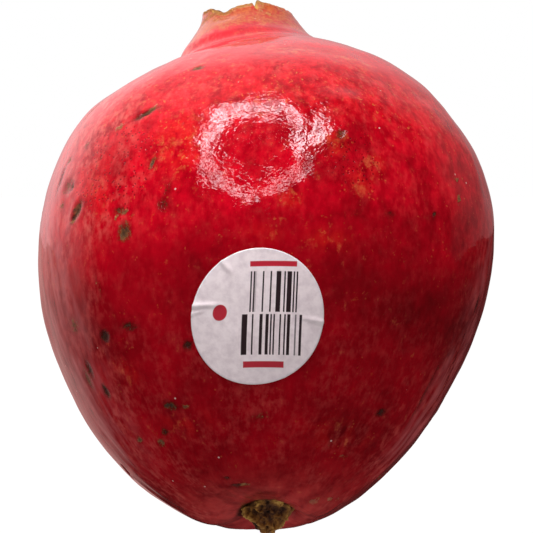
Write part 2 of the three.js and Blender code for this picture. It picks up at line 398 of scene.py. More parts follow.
def skin_spot(angle, height):
    """The skin's point at an angle and a height, and its directions right, up and out there: a small
    step round the axis, one along the outline, and the cross product of both."""
    share = np.interp(height, OUTER_HEIGHTS, OUTER_SHARES)
    point = rind_surface(share, angle)
    right = unit(rind_surface(share, angle + SMALL_STEP) - point)
    up = unit(rind_surface(share + SMALL_STEP, angle) - point)
    return point, right, up, np.cross(right, up)


OUT_REACH = 8  # an oval doesn't go through to the other side of the fruit


def from_spot(points, angle, height):
    """How far the points lie to the right, up and out from a spot on the skin: the products of the
    way there with the three directions."""
    point, right, up, out = skin_spot(math.radians(angle), height)
    away = points - point
    return away @ right, away @ up, away @ out


def oval(points, angle, height, across, along, turn=0):
    """How far inside an oval on the skin the points are: 1 in the middle, 0 at its edge and less
    outside. It is 1 less the distance, with each direction measured in half its width."""
    u, v, w = from_spot(points, angle, height)
    c, s = math.cos(math.radians(turn)), math.sin(math.radians(turn))
    rightward, upright = (u * c + v * s) / across, (v * c - u * s) / along
    return 1 - np.sqrt(rightward**2 + upright**2 + (w / OUT_REACH) ** 2)


# %% The scars that the front shows
SCARS = [  # angle, height, half width, half length, turn, sunk, corky, dark
    (-52.5, -1.5, 1.5, 3.1, -44, 0.45, 0.85, 0.9),
    (-54.5, -3.5, 0.8, 0.6, 0, 0, 1.4, 0),
    (-54.0, -2.5, 0.5, 0.5, 0, 0.2, 0, 1.7),
    (-58.0, 5.0, 2.9, 2.2, 20, 0.25, 0.55, 0.6),
    (-55.5, 4.5, 0.9, 0.9, 0, 0.3, 0.9, 1.4),
    (-60.0, 1.5, 1.3, 1.2, 0, 0.1, 0.7, 0.6),
    (-64.0, 8.5, 1.4, 4.0, -25, 0.12, 0.15, 0.65),
    (-60.5, 12.0, 1.2, 0.9, 0, 0.15, 0.9, 0.8),
    (-52.0, 13.0, 1.0, 0.8, 0, 0.05, 0.6, 0.45),
    (-37.5, -4.5, 1.5, 1.0, -10, 0.35, 0.9, 1.0),
    (-36.0, -5.0, 0.7, 0.6, 0, 0, 1.5, 0),
    (-39.0, -6.0, 0.8, 0.5, 20, 0, 1.3, 0),
    (-36.5, -9.0, 1.8, 2.3, -22, 0.4, 0.85, 1.0),
    (-33.5, -5.5, 0.5, 0.5, 0, 0, 0.9, 0.5),
    (-32.5, 16.5, 3.2, 0.8, 20, 0.45, 0.7, 1.2),
    (-30.5, 17.5, 1.2, 0.6, 25, 0, 1.2, 0.2),
    (-40.0, 14.5, 1.7, 0.6, 5, 0, 1.0, 0.2),
    (-28.5, 4.5, 0.8, 1.5, -25, 0.3, 1.0, 1.0),
    (-25.5, -5.0, 1.6, 1.6, 0, 0.1, 0.35, 0.7),
    (-24.0, -2.0, 1.0, 1.8, -20, 0.05, 0.3, 0.55),
    (-60.5, 24.5, 1.0, 5.0, -40, 0.05, 0.6, 0.3),
    (-20.0, 27.5, 1.9, 1.0, 10, 0.15, 0.9, 0.9),
    (-49.0, -27.5, 1.5, 1.4, 0, 0.3, 0.55, 1.5),
    (-39.0, -27.0, 2.2, 0.9, -15, 0.15, 0.45, 1.1),
    (-21.5, -32.0, 1.1, 1.0, 20, 0.2, 0.5, 1.5),
    (-62.0, -23.0, 2.6, 2.2, 0, 0.05, 0.6, 0.45),
    (-46.5, -18.0, 0.5, 2.6, 6, 0.15, 0.6, 0.6),
    (-66.0, -33.0, 1.6, 3.0, 0, 0.1, 0.6, 0.6),
    (-62.5, -31.5, 1.2, 2.4, 0, 0.15, 0.5, 1.0),
    (-59.0, -36.5, 1.1, 1.8, 0, 0.15, 0.6, 1.2),
    (-33.0, -42.0, 1.9, 0.9, -20, 0.2, 0.8, 1.2),
    (-27.0, -42.5, 1.2, 0.7, 0, 0, 0.6, 0.4),
    (-40.0, -46.0, 1.0, 0.8, 0, 0.15, 0.6, 1.1),
    (-45.0, -47.5, 1.2, 0.9, 30, 0.1, 0.9, 0.8),
    (-56.0, -46.0, 1.1, 0.8, 0, 0.1, 1.0, 0.7),
    (-17.0, -56.0, 1.3, 0.7, -20, 0.3, 0.3, 1.6),
    (-12.0, -56.0, 1.5, 0.6, -15, 0.2, 1.2, 0.3),
    (-20.0, -54.5, 0.9, 0.6, -20, 0.1, 0.3, 0.9),
    (1.0, -45.0, 2.2, 1.0, 15, 0.05, 0.4, 0.5),
    (11.5, 51.4, 2.2, 1.8, 0, 0.05, 0.55, 0),
    (19.0, 49.6, 1.2, 0.9, 0, 0, 0.7, 0),
    (-48.0, 52.0, 3.2, 1.0, 0, 0.05, 0.85, 0.1),
    (-66.0, 50.5, 3.0, 2.6, 0, 0, 0.6, 0),
    (-40.0, 50.2, 2.6, 1.6, 0, 0, 0.5, 0),
    (44.0, -50.0, 1.6, 0.5, 10, 0.1, 0.9, 0.3),
    (49.0, -57.0, 1.5, 0.8, 0, 0.2, 1.1, 0.6),
    (60.5, -56.0, 4.2, 0.4, 12, 0.15, 0.9, 0.2),
    (50.0, -41.5, 1.3, 1.0, 20, 0.15, 0.4, 1.2),
    (46.0, -3.5, 0.7, 0.7, 0, 0.15, 0.5, 1.1),
    (55.0, 2.0, 0.7, 1.2, 0, 0.05, 1.2, 0.5),
    (55.0, 6.0, 0.8, 0.7, 0, 0.05, 1.0, 0.4),
    (18.0, 9.0, 1.0, 1.1, 0, 0.3, 0.6, 1.0),
    (9.5, 2.0, 1.3, 2.8, -10, 0.03, 0.2, 0.35),
    (11.5, -0.5, 1.6, 0.7, 10, 0.03, 0.25, 0.3),
    (32.0, -6.0, 1.4, 0.9, 0, 0.03, 0, 0.6),
    (23.0, -7.0, 1.3, 0.7, 0, 0.03, 0, 0.5),
    (68.0, -35.0, 0.75, 9.0, 4, 0.5, 0.1, 0.6),
    (74.0, -16.0, 0.9, 2.4, 0, 0.15, 0, 0.9),
]

# %% The scars of the back
STREWN, STREWN_SEED = 34, 21
STREWN_ANGLES, STREWN_HEIGHTS, STREWN_HALVES = (88, 280), (-50, 34), (0.6, 2.2)
STREWN_TURNS, STREWN_DEPTHS, STREWN_TONES = (-60, 60), (0.08, 0.5), (0.3, 1)


def strewn_scars():
    """Scars from a seeded draw, from the right side round the back to the left side."""
    draw = np.random.default_rng(STREWN_SEED)
    for _ in range(STREWN):
        angle, height = draw.uniform(*STREWN_ANGLES), draw.uniform(*STREWN_HEIGHTS)
        across, along = draw.uniform(*STREWN_HALVES, 2)
        turn, sunk = draw.uniform(*STREWN_TURNS), draw.uniform(*STREWN_DEPTHS)
        corky, dark = draw.uniform(*STREWN_TONES, 2)
        yield angle, height, across, along, turn, sunk, corky, dark


# %% Uneven patches, swells and the facet
UNEVEN = [  # angle, height, half width, half length, cell, rise
    (11, -1, 8, 5, 2.4, 0.08),
    (-6, 14, 14, 4, 2.6, 0.05),
    (-6, -6, 13, 4.5, 2.4, 0.11),
]
UNEVEN_SEED, UNEVEN_FULL = 70, 0.7  # the first patch's seed, and how far inside it is full
for index, (angle, height, across, along, cell, rise) in enumerate(UNEVEN):
    patch = ease(0, UNEVEN_FULL, oval(rind_skin, angle, height, across, along))
    rind_relief += rise * patch * lattice_noise(rind_skin, cell, UNEVEN_SEED + index)

SWELLS = [(20.2, 14.5, 2.0, 2.0, 0.12), (-12, 22, 9, 6, -0.1)]  # the same without a cell
for angle, height, across, along, rise in SWELLS:
    rind_relief += rise * ease(0, 1, oval(rind_skin, angle, height, across, along))

# A round skin falls off by right² / (2 radius) beside a spot. Adding that makes the facet flat.
FACET_START, FACET_WIDTH, FACET_END = (7.5, 13.5), 8.4, 16.0  # angle and height, then lengths
FACET_HEIGHTS, FACET_DEPTHS = (9.0, 4), (-20, -12)  # none, full
right_of, above_of, out_of = from_spot(rind_skin, *FACET_START)
facet_window = (1 - ease(FACET_WIDTH, FACET_END, right_of)) * ease(*FACET_HEIGHTS, np.abs(above_of))
facet_window = facet_window * ease(*FACET_DEPTHS, out_of)
rind_relief += facet_window * np.maximum(0, right_of) ** 2 / (2 * GIRTH_RADIUS)
print("uneven patches:", len(UNEVEN), "swells:", len(SWELLS))

# %% Sinking the scars
LIP_SHARE = 0.2  # height of a scar's lip, as a share of its depth
LIP_FROM, LIP_TOP, LIP_TO, PIT_FULL = -0.9, -0.1, 0.4, 0.8  # values of `oval`
COLOUR_SPREAD = 1.25  # a scar's colour reaches further out than its pit
corky_skin = np.zeros(rind_skin.shape[:2])
dark_skin = np.zeros(rind_skin.shape[:2])
for angle, height, across, along, turn, sunk, corky, dark in [*SCARS, *strewn_scars()]:
    within = oval(rind_skin, angle, height, across, along, turn)
    lip = ease(LIP_FROM, LIP_TOP, within) * (1 - ease(LIP_TOP, LIP_TO, within))
    coloured = 1 - (1 - within) / COLOUR_SPREAD
    rind_relief += sunk * (LIP_SHARE * lip - ease(0, PIT_FULL, within))
    corky_skin = np.maximum(corky_skin, corky * coloured)
    dark_skin = np.maximum(dark_skin, dark * coloured)
print("scars:", len(SCARS) + STREWN)

# %% [markdown]
# ### The torn rim of the crown
#
# The dried sepals have broken off, which leaves a low ring with a torn edge. The edge has small
# teeth, one sharp notch at the front with a low peak beside it, and short splits that run down from
# it. A boolean cut would leave bare flat walls, so they move the rows near the rim instead, which are
# dense enough to hold them.

# %% Teeth, notch and splits
TEETH = [(1.3, 0.28, 31), (0.55, 0.14, 32)]  # cell, height, seed
NOTCH, PEAK = (9, 1.9, 1.1), (14, 6.5, 0.6)  # angle, half width in degrees, depth or height
RIM_TOP, TORN_ZONE = 18.3, (0.2, 2.6)  # a station, and how far below it the teeth fade out
SPLITS = [  # angle, depth, height of its foot
    (10, 0.2, 50.2),
    (-50, 0.3, 50.6),
    (-23, 0.2, 51.4),
    (74, 0.3, 49.8),
    (141, 0.3, 49),
    (205, 0.35, 49.6),
    (262, 0.3, 50),
]
SPLIT_HALF_WIDTH, SPLIT_FADE = 0.22, 2


def turned_from(angle, degrees):
    """How far the angle lies from a place round the axis, from -pi to pi."""
    return (angle - math.radians(degrees) + math.pi) % (2 * math.pi) - math.pi


def nick(degrees, half_width, size):
    """A bell of a size on the rim, at an angle and with a half width in degrees."""
    return size * hump(turned_from(rind_angles, degrees), 0, math.radians(half_width))


rim_height = rind_surface(RIM_TOP / LAST_STATION, rind_angles)[..., 2]
below_rim = rim_height - rind_skin[..., 2]
near_rim = 1 - ease(*TORN_ZONE, below_rim)
teeth = sum(height * lattice_noise(rind_skin, cell, seed) for cell, height, seed in TEETH)
rim_rise = near_rim * (teeth + nick(*PEAK) - nick(*NOTCH))
split_depth = np.zeros_like(below_rim)
from_cup = np.hypot(rind_skin[..., 0] - CUP_SHIFT, rind_skin[..., 1])
for degrees, depth, foot in SPLITS:
    aside = turned_from(rind_angles, degrees) * from_cup
    cut = hump(aside, 0, SPLIT_HALF_WIDTH) * ease(foot, foot + SPLIT_FADE, rind_skin[..., 2])
    split_depth = np.maximum(split_depth, cut)
    rind_relief -= depth * cut
print("rim:", rim_height.min().round(1), "to", rim_height.max().round(1), "mm over the girth")

# %% [markdown]
# ### Numbers for the skin's finish
#
# Some colours belong to places: the torn edge is tan, the inside of the cup is dry, the dimple round
# the stem is a dull rose with a brown stain, and golden mottles gather in a few patches. Part of the
# dimple's rose is painted light that lifts the shade under the fruit. The skin is lighter above the
# girth, partly as sun colour and partly as painted light, and darker below it and on its right side
# as painted shade. It is paler towards both sides, low down and on the crown's wall, partly as
# salmon mottles and partly as painted light and sheen, and pale pink streaks of painted sheen run
# down both edges. Its gloss is crumpled most at the front. These places are worked out here and go
# with the mesh. Painting by hand would also do, but these follow the shape when it changes.

# %% Golden and porous patches
GOLDEN = [  # angle, height, half width, half length, strength
    (-22.5, 8, 9, 12, 0.8),
    (-45, 2, 7, 14, 0.3),
    (-70, -8, 7, 12, 0.4),
    (16, 7, 5, 4, 1.0),
    (22.5, -1.0, 4, 5, 0.8),
    (27, 3, 4, 4, 0.8),
    (6, -5, 4, 3, 0.8),
    (16, -13, 7, 4, 0.5),
    (0, -12, 6, 3, 0.3),
    (-46, -35, 6, 5, 0.4),
    (-8, 41, 11, 5, 0.7),
    (-16, 30, 9, 6, 0.6),
    (8, 32, 11, 5, 0.9),
    (30, 30, 9, 9, 0.7),
    (-30, -45, 9, 5, 0.3),
    (35, -47, 12, 6, 0.25),
    (110, 5, 14, 17, 0.6),
    (165, -8, 16, 22, 0.8),
    (235, 8, 12, 18, 0.6),
]
PORES = [  # the same
    (-40, 5, 18, 15, 1),
    (21, 4, 9, 11, 1),
    (120, -6, 20, 16, 1),
    (205, 6, 22, 18, 1),
]
GOLDEN_FULL, PORES_FULL, SHOULDER_GOLD = 0.8, 0.7, 0.3
side, ahead, upward = np.sin(rind_angles), np.cos(rind_angles), rind_skin[..., 2]


def added(terms, start=0.0):
    """The start plus its terms. Each term is a strength times the eases of its bands, and a band is
    a measure of the place, with the values of it at which the ease starts and ends."""
    total = start
    for strength, *bands in terms:
        for measure, low, high in bands:
            strength = strength * ease(low, high, measure)
        total = total + strength
    return total


def strongest(patches, full, start):
    """The strongest of the start and of ovals that grow from 0 at their edge to their strength, which
    they have from `full` on inwards."""
    for angle, height, across, along, strength in patches:
        within = oval(rind_skin, angle, height, across, along)
        start = np.maximum(start, strength * ease(0, full, within))
    return start


shoulder = added([(1.0, (upward, 8, 19), (upward, 31, 24), (ahead, 0, 0.75))])
golden = strongest(GOLDEN, GOLDEN_FULL, SHOULDER_GOLD * shoulder)
pores = strongest(PORES, PORES_FULL, 0 * shoulder)
print("golden, mean strength:", golden.mean().round(3))

# %% The red's sun colour with painted light and shade, and how lively and pale it is
# Partly sun colour, partly painted light and shade: lighter above the girth, painted shade below it
# and on the right side, and painted light low on the left and on the right flank.
sun_and_painted_shading = added(  # each line: a strength, and where it holds
    [
        (0.08, (upward, 2, 28)),
        (-0.02 * shoulder,),
        (-0.18, (upward, 4, -22)),
        (-0.05, (side, -0.2, 0.7)),
        (0.06, (side, -0.1, -0.5), (upward, -12, 2)),
        (0.08, (side, 0.45, 0.6), (side, 0.9, 0.75), (upward, -24, -8), (upward, 30, 14)),
    ]
)
lively = added([(0.65, (upward, -20, 2)), (0.25 * shoulder,)], start=0.35)
lively = lively * added([(-0.55, (upward, 26, 29))], start=1)
# Pale salmon mottles, partly painted light: painted sheen towards both sides and on the crown's wall,
# and painted light low down.
pale_and_painted_light = added(
    [
        (0.06, (upward, -20, 2)),
        (0.3, (upward, 42, 45), (upward, 52, 48), (side, -0.95, -0.3)),
        (0.04 * shoulder,),
        (0.12, (upward, -14, -46)),
        (0.42, (side, -0.35, -0.7), (upward, -14, -2)),
        (0.3, (side, -0.55, -0.9)),
        (0.25, (side, 0.84, 0.98)),
        (0.14, (upward, 5, 25)),
    ],
    start=0.04,
)
# Painted sheen: pale pink streaks down both edges of the fruit, where its gloss would mirror the
# bright surround.
painted_sheen_sides = added([(0.5, (side, -0.72, -0.97)), (0.45, (side, 0.9, 0.98))])
painted_sheen = added([(painted_sheen_sides, (upward, 34, 20), (upward, -54, -42))])
CRUMPLED = (0, 20, 30, 26)  # angle, height, half width, half length of the crumpled front
crumple = added([(0.78, (oval(rind_skin, *CRUMPLED), -0.7, 0.1))], start=0.22)
print("pale:", pale_and_painted_light.min().round(2), "to", pale_and_painted_light.max().round(2))

# %% The stem end, the neck and the cup
STAIN = (-0.3, -0.9)  # the brown stain round the stem lies a little to the left and front
STEM_STATIONS, DIMPLE_FADE, STAIN_FADE = 6, (5, 25), (4.6, 7.6)  # stations, then distances
CUP_BEGINS, NECK_BEGINS, EDGE_ZONE = (19.2, 20.2), (12.8, 15.4), (0.35, 0.05)
NECK_TAN, NECK_LEFT, NECK_LEFT_MORE = 1.2, (-58, 38), 0.45  # NECK_LEFT: angle, spread
TORN_LEAST, TORN_MORE = 0.72, [(0.28, -50, 34), (0.3, 12, 16)]  # strength, angle, spread


def round_axis_bell(degrees, spread):
    """A bell round the axis: 1 at an angle, and a hump of a spread in degrees away from it."""
    return hump(np.degrees(turned_from(rind_angles, degrees)), 0, spread)


radius_out = np.hypot(rind_skin[..., 0], rind_skin[..., 1])
at_stem = (rind_station < STEM_STATIONS) * np.ones_like(radius_out)
dimple = at_stem * (1 - ease(*DIMPLE_FADE, radius_out))
from_stain = np.hypot(rind_skin[..., 0] - STAIN[0], rind_skin[..., 1] - STAIN[1])
halo = at_stem * (1 - ease(*STAIN_FADE, from_stain))
cup = ease(*CUP_BEGINS, rind_station) * np.ones_like(radius_out)
front_more = added([(0.55, (ahead, -0.6, 0.3))], start=0.45)
neck = NECK_TAN * ease(*NECK_BEGINS, rind_station) * (1 - cup) * front_more
neck = neck * (1 + NECK_LEFT_MORE * round_axis_bell(*NECK_LEFT))
torn_share = added([(more * round_axis_bell(*place),) for more, *place in TORN_MORE], start=TORN_LEAST)

# %% The rind itself
rind_shape = rind_skin + rind_normal * rind_relief[..., None]
rind_shape[..., 2] += rim_rise
rind = closed_piece(
    "rind",
    stand(rind_shape),
    {
        "grain": rind_grain,
        "corky": corky_skin,
        "dark": dark_skin,
        "torn": near_rim * torn_share,
        "edge": ease(*EDGE_ZONE, below_rim) * (1 - cup),
        "split": split_depth,
        "cup": cup,
        "neck": neck,
        "dimple": dimple,
        "halo": halo,
        "sun_and_painted_shading": sun_and_painted_shading,
        "pale_and_painted_light": pale_and_painted_light,
        "lively": lively,
        "painted_sheen": painted_sheen,
        "golden": golden,
        "pores": pores,
        "crumple": crumple,
    },
)

# %% [markdown]
# ## Tools for finishes
#
# A finish is a tree of nodes. Each method here adds one node and gives back its output, so that a
# finish reads as a few lines of plain steps. The same nodes could be laid out in the shader editor,
# where their order is harder to follow. Sizes in a finish are in millimetres on the piece.

# %% Colours and nodes
def srgb(red, green, blue):
    """A colour from its screen values 0 to 255, as linear light: ((value + 0.055) / 1.055) ^ 2.4."""
    shares = np.array([red, green, blue]) / 255
    linear = np.where(shares < 0.04045, shares / 12.92, ((shares + 0.055) / 1.055) ** 2.4)
    return (*linear.tolist(), 1)


def fill_sockets(tree, node, values):
    """Gives each named input of a node its value, or a link where the value is an output."""
    for socket, value in values.items():
        if isinstance(value, bpy.types.NodeSocket):
            tree.links.new(value, node.inputs[socket])
        else:
            node.inputs[socket].default_value = value


def add_node(tree, kind, values=None, output=0, **settings):
    """Adds a node with its settings and values. It gives back an output, or the node without one."""
    node = tree.nodes.new("ShaderNode" + kind)
    for key, value in settings.items():
        setattr(node, key, value)
    fill_sockets(tree, node, values or {})
    return node.outputs[output] if node.outputs else node


def bare_tree(owner):
    """The node tree of a material or a world, with nothing in it."""
    owner.use_nodes = True
    owner.node_tree.nodes.clear()
    return owner.node_tree


# %% A finish, step by step
class Finish:
    """A procedural material under construction, on the Principled shader."""

    def __init__(self, name, **shader_values):
        self.material = bpy.data.materials.new(name)
        self.material.use_nodes = True
        self.tree = self.material.node_tree
        self.shader = self.tree.nodes["Principled BSDF"]
        self.dress({key.replace("_", " "): value for key, value in shader_values.items()})
        self.place = self.scaled(self.add("TexCoord", output="Object"), 1 / MM)

    def dress(self, values):
        """Sets or links inputs of the shader by name."""
        fill_sockets(self.tree, self.shader, values)

    def add(self, kind, values=None, output=0, **settings):
        """Adds any kind of node, as `add_node` does."""
        return add_node(self.tree, kind, values, output, **settings)

    def attribute(self, name, output="Fac"):
        """A number, or with the output "Vector" a place, that the mesh carries by a name."""
        return self.add("Attribute", output=output, attribute_name=name)

    def calc(self, operation, first, second=0.0, third=0.0):
        """One step of arithmetic."""
        return self.add("Math", {0: first, 1: second, 2: third}, operation=operation)

    def product(self, first, second):
        """The first value times the second."""
        return self.calc("MULTIPLY", first, second)

    def greater(self, first, second):
        """The greater of two values."""
        return self.calc("MAXIMUM", first, second)

    def weighed(self, value, weight, base):
        """A value times its weight, plus a base."""
        return self.calc("MULTIPLY_ADD", value, weight, base)

    def mixed(self, *parts, base=None):
        """The sum of parts, each a value and its weight, on a base if there is one."""
        *others, (value, weight) = parts
        total = self.product(value, weight) if base is None else self.weighed(value, weight, base)
        for value, weight in reversed(others):
            total = self.weighed(value, weight, total)
        return total

    def scaled(self, vector, factor):
        """A vector times one number."""
        return self.add("VectorMath", {0: vector, "Scale": factor}, operation="SCALE")

    def pressed(self, vector, factors):
        """A vector with each of its numbers times its own factor. Less than 1 stretches a pattern."""
        return self.add("VectorMath", {0: vector, 1: factors}, operation="MULTIPLY")

    def noise(self, place, size, detail=3.0, roughness=0.5, distortion=0.0):
        """Cloudy noise from 0 to 1, mostly near 0.5, with lumps of about a size."""
        values = {"Vector": place, "Scale": 1 / size, "Detail": detail, "Roughness": roughness}
        return self.add("TexNoise", {**values, "Distortion": distortion})

    def cells(self, place, size):
        """How far the nearest of strewn points is, in shares of the size of their cells."""
        return self.add("TexVoronoi", {"Vector": place, "Scale": 1 / size}, output="Distance")

    def band(self, value, low, high):
        """Goes smoothly from 0 at low to 1 at high; high may be the smaller."""
        values = {"Value": value, "From Min": low, "From Max": high}
        return self.add("MapRange", values, interpolation_type="SMOOTHSTEP")

    def blend(self, share, under, over):
        """The colour `over` laid on the colour `under`, by a share."""
        return self.add("Mix", {0: share, 6: under, 7: over}, output=2, data_type="RGBA")

    def layer(self, under, over, mask, low, high, strength):
        """Lays a colour on another where a mask goes from low to high, at most by a strength."""
        return self.blend(self.product(self.band(mask, low, high), strength), under, over)

    def ramp(self, share, stops):
        """The colour at a share of the way through stops, each a place from 0 to 1 and a colour."""
        colours = self.add("ValToRGB", {"Fac": share})
        elements = colours.node.color_ramp.elements
        for place, colour in stops[1:-1]:
            elements.new(place).color = colour
        for element, (place, colour) in zip((elements[0], elements[-1]), (stops[0], stops[-1])):
            element.position, element.color = place, colour
        return colours

    def bump(self, height, depth, below=None):
        """A normal bent by the slope of a height, which stands for a depth in millimetres."""
        values = {"Height": height, "Distance": depth * MM, "Strength": 1.0}
        return self.add("Bump", {**values, "Normal": below} if below else values)

    def give(self, piece, slot, *nodes):
        """Puts the finish on a piece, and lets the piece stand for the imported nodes."""
        piece.data.materials.append(self.material)
        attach(piece, "root")
        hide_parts(*nodes)
        print(self.material.name, "has", len(self.tree.nodes), "nodes")

# %% [markdown]
# ## The skin's finish
#
# The red of the rind runs from deep crimson over scarlet to rose. It is lighter where the mesh
# carries sun colour and painted light, and darker where it carries painted shade, and golden mottles
# lie on it in a few patches. Fine streaks run from stem to crown, and pale pink streaks of painted
# sheen run down both edges. A natural wax lies over it, so the skin is very glossy, and only scars,
# the torn edge, the dimple and the cup are dull. The gloss crumples on a finer scale than the mesh
# holds, so that part is bump. One picture wrapped round the fruit could give the colours too, but it
# would blur near by and show a seam.

# %% The skin's colours
DEEP, CRIMSON, SCARLET, ROSE = srgb(104, 0, 10), srgb(184, 0, 24), srgb(228, 8, 36), srgb(238, 42, 64)
GOLD, ORANGE_RED, SALMON = srgb(226, 122, 66), srgb(230, 44, 28), srgb(230, 104, 96)
CORK, OLIVE, SOOT, UMBER_RED = srgb(172, 124, 60), srgb(82, 50, 14), srgb(42, 22, 10), srgb(84, 8, 8)
TAN, OCHRE, DRY_EDGE = srgb(168, 126, 66), srgb(190, 120, 54), srgb(96, 48, 26)
DULL_ROSE, STRAW_YELLOW = srgb(206, 70, 64), srgb(222, 182, 96)
RUST_BROWN, NUT_BROWN = srgb(64, 26, 10), srgb(150, 76, 34)
# The last of these, a pale pink, is painted sheen.
PORE_RED, DUST, PAINTED_SHEEN_PINK = srgb(84, 0, 4), srgb(240, 210, 200), srgb(226, 132, 134)
print("deep crimson as linear light:", [round(value, 3) for value in DEEP])

# %% Noises of several sizes
BROAD, MOTTLE, PATCH, CRUMB, STROKE, STRIPE, FINE = 17, 3.4, 1.9, 1.3, 1.3, 2.6, 0.6  # sizes
MOTTLE_PRESS, CRUMB_PRESS = (1, 1, 0.75), (1, 1, 0.8)  # a little longer up and down
STROKE_PRESS, STRIPE_PRESS = (1, 1, 0.45), (1, 1, 0.3)  # long streaks along the grain
GLOSSY, MATT, WAX_IOR = 0.06, 0.8, 1.52
skin = Finish("waxed_skin", Roughness=GLOSSY, IOR=WAX_IOR)
grain = skin.attribute("grain", "Vector")
golden_share = skin.attribute("golden")
broad = skin.noise(skin.place, BROAD, detail=2)
mottle_place = skin.pressed(skin.place, MOTTLE_PRESS)
mottle = skin.noise(mottle_place, MOTTLE, roughness=0.55, distortion=0.3)
crumbs = skin.noise(skin.pressed(skin.place, CRUMB_PRESS), CRUMB, roughness=0.6)
stroke_place = skin.pressed(grain, STROKE_PRESS)
strokes = skin.noise(stroke_place, STROKE, detail=4, roughness=0.55, distortion=0.3)
fine = skin.noise(skin.place, FINE, roughness=0.6)
patches = skin.noise(skin.pressed(skin.place, CRUMB_PRESS), PATCH, detail=4, roughness=0.6)
stripes = skin.noise(skin.pressed(grain, STRIPE_PRESS), STRIPE)
print("noise sizes:", BROAD, MOTTLE, PATCH, CRUMB, STROKE, STRIPE, FINE)

# %% How light the red is
# A noise is mostly near 0.5. The base takes that half off again, so that its weights only spread.
NOISE_MIDDLE, MOTTLE_WEIGHT, CRUMB_WEIGHT, STROKE_WEIGHT = 0.5, 0.55, 0.3, 0.25
BROAD_WEIGHT, LIGHT_BASE = 0.4, 0.3
RED_STOPS = [(0.16, DEEP), (0.45, CRIMSON), (0.64, SCARLET), (0.85, ROSE)]
spread_base = -NOISE_MIDDLE * (MOTTLE_WEIGHT + CRUMB_WEIGHT)
marbled = skin.mixed((mottle, MOTTLE_WEIGHT), (crumbs, CRUMB_WEIGHT), base=spread_base)
marbled = skin.weighed(skin.calc("SUBTRACT", strokes, NOISE_MIDDLE), STROKE_WEIGHT, marbled)
# The sun colour read here also carries painted light and shade.
lightness = skin.weighed(broad, BROAD_WEIGHT, skin.calc("ADD", skin.attribute("sun_and_painted_shading"), LIGHT_BASE))
lightness = skin.weighed(marbled, skin.attribute("lively"), lightness)
colour = skin.ramp(lightness, RED_STOPS)
print("red stops:", len(RED_STOPS))

# %% Golden and pale skin, and painted sheen on both edges
FLUSH_BAND, FLUSH, GILT_BAND, GILT, GILT_PULL = (0.35, 0.65), 0.55, (0.62, 0.9), 0.55, 0.22
CLUSTER, CLUSTER_LEAST, PALE_BAND, PAINTED_SHEEN_BAND = 6.5, 0.25, (0.43, 0.62), (0.28, 0.74)
flushed = skin.product(golden_share, skin.band(mottle, *FLUSH_BAND))
colour = skin.blend(skin.product(flushed, FLUSH), colour, ORANGE_RED)
colour = skin.layer(colour, GOLD, skin.weighed(golden_share, GILT_PULL, patches), *GILT_BAND, GILT)
clusters = {"Value": skin.noise(skin.place, CLUSTER, detail=2), "From Min": 0.4, "From Max": 0.6}
clusters = skin.add("MapRange", {**clusters, "To Min": CLUSTER_LEAST})
pale_cut = skin.mixed((crumbs, 0.3), (patches, 0.45), (strokes, 0.25))
# The pale salmon carries painted light and sheen on the sides, low down and on the crown's wall.
pale_and_painted_light_part = skin.product(clusters, skin.attribute("pale_and_painted_light"))
colour = skin.blend(skin.product(skin.band(pale_cut, *PALE_BAND), pale_and_painted_light_part), colour, SALMON)
# Painted sheen: pale pink streaks along the grain on both edges.
painted_sheen_part = skin.product(skin.band(stripes, *PAINTED_SHEEN_BAND), skin.attribute("painted_sheen"))
colour = skin.blend(painted_sheen_part, colour, PAINTED_SHEEN_PINK)

# %% Freckles, flecks, pores and dust
FRECKLE_APART, PORE_APART, DUST_APART = 1.1, 0.85, 5.5  # sizes of the cells that hold one mark each
FRECKLE_SPOT, PORE_SPOT, DUST_SPOT = (0.26, 0.12), (0.29, 0.17), (0.045, 0.03)  # edge, middle
FRECKLE_CLOUD, FLECK = 2.6, 0.8  # sizes
FRECKLE_BAND, FLECK_BAND, PORE_BAND = (0.64, 0.84), (0.88, 1.0), (0.05, 0.6)
FRECKLED, FLECKED, PORED, DUSTED = 0.35, 0.6, 0.65, 0.7  # how strongly each is painted
freckle_cloud = skin.noise(skin.place, FRECKLE_CLOUD, detail=2)
freckle_mask = skin.weighed(golden_share, 0.3, freckle_cloud)
freckle_mask = skin.weighed(skin.attribute("lively"), 0.12, freckle_mask)
freckles = skin.band(skin.cells(skin.place, FRECKLE_APART), *FRECKLE_SPOT)
freckle_part = skin.product(freckles, skin.band(freckle_mask, *FRECKLE_BAND))
colour = skin.blend(skin.product(freckle_part, FRECKLED), colour, GOLD)
fleck_cut = skin.noise(skin.place, FLECK, detail=2, distortion=0.4)
fleck_cut = skin.weighed(freckle_mask, 0.3, fleck_cut)
fleck_part = skin.product(skin.band(fleck_cut, *FLECK_BAND), skin.attribute("lively"))
colour = skin.blend(skin.product(fleck_part, FLECKED), colour, GOLD)
pore_mask = skin.calc("ADD", skin.attribute("pores"), skin.weighed(mottle, 1.6, -0.95))
pore_spots = skin.band(skin.cells(skin.place, PORE_APART), *PORE_SPOT)
pore_part = skin.product(pore_spots, skin.band(pore_mask, *PORE_BAND))
colour = skin.blend(skin.product(pore_part, PORED), colour, PORE_RED)
colour = skin.layer(colour, DUST, skin.cells(skin.place, DUST_APART), *DUST_SPOT, DUSTED)

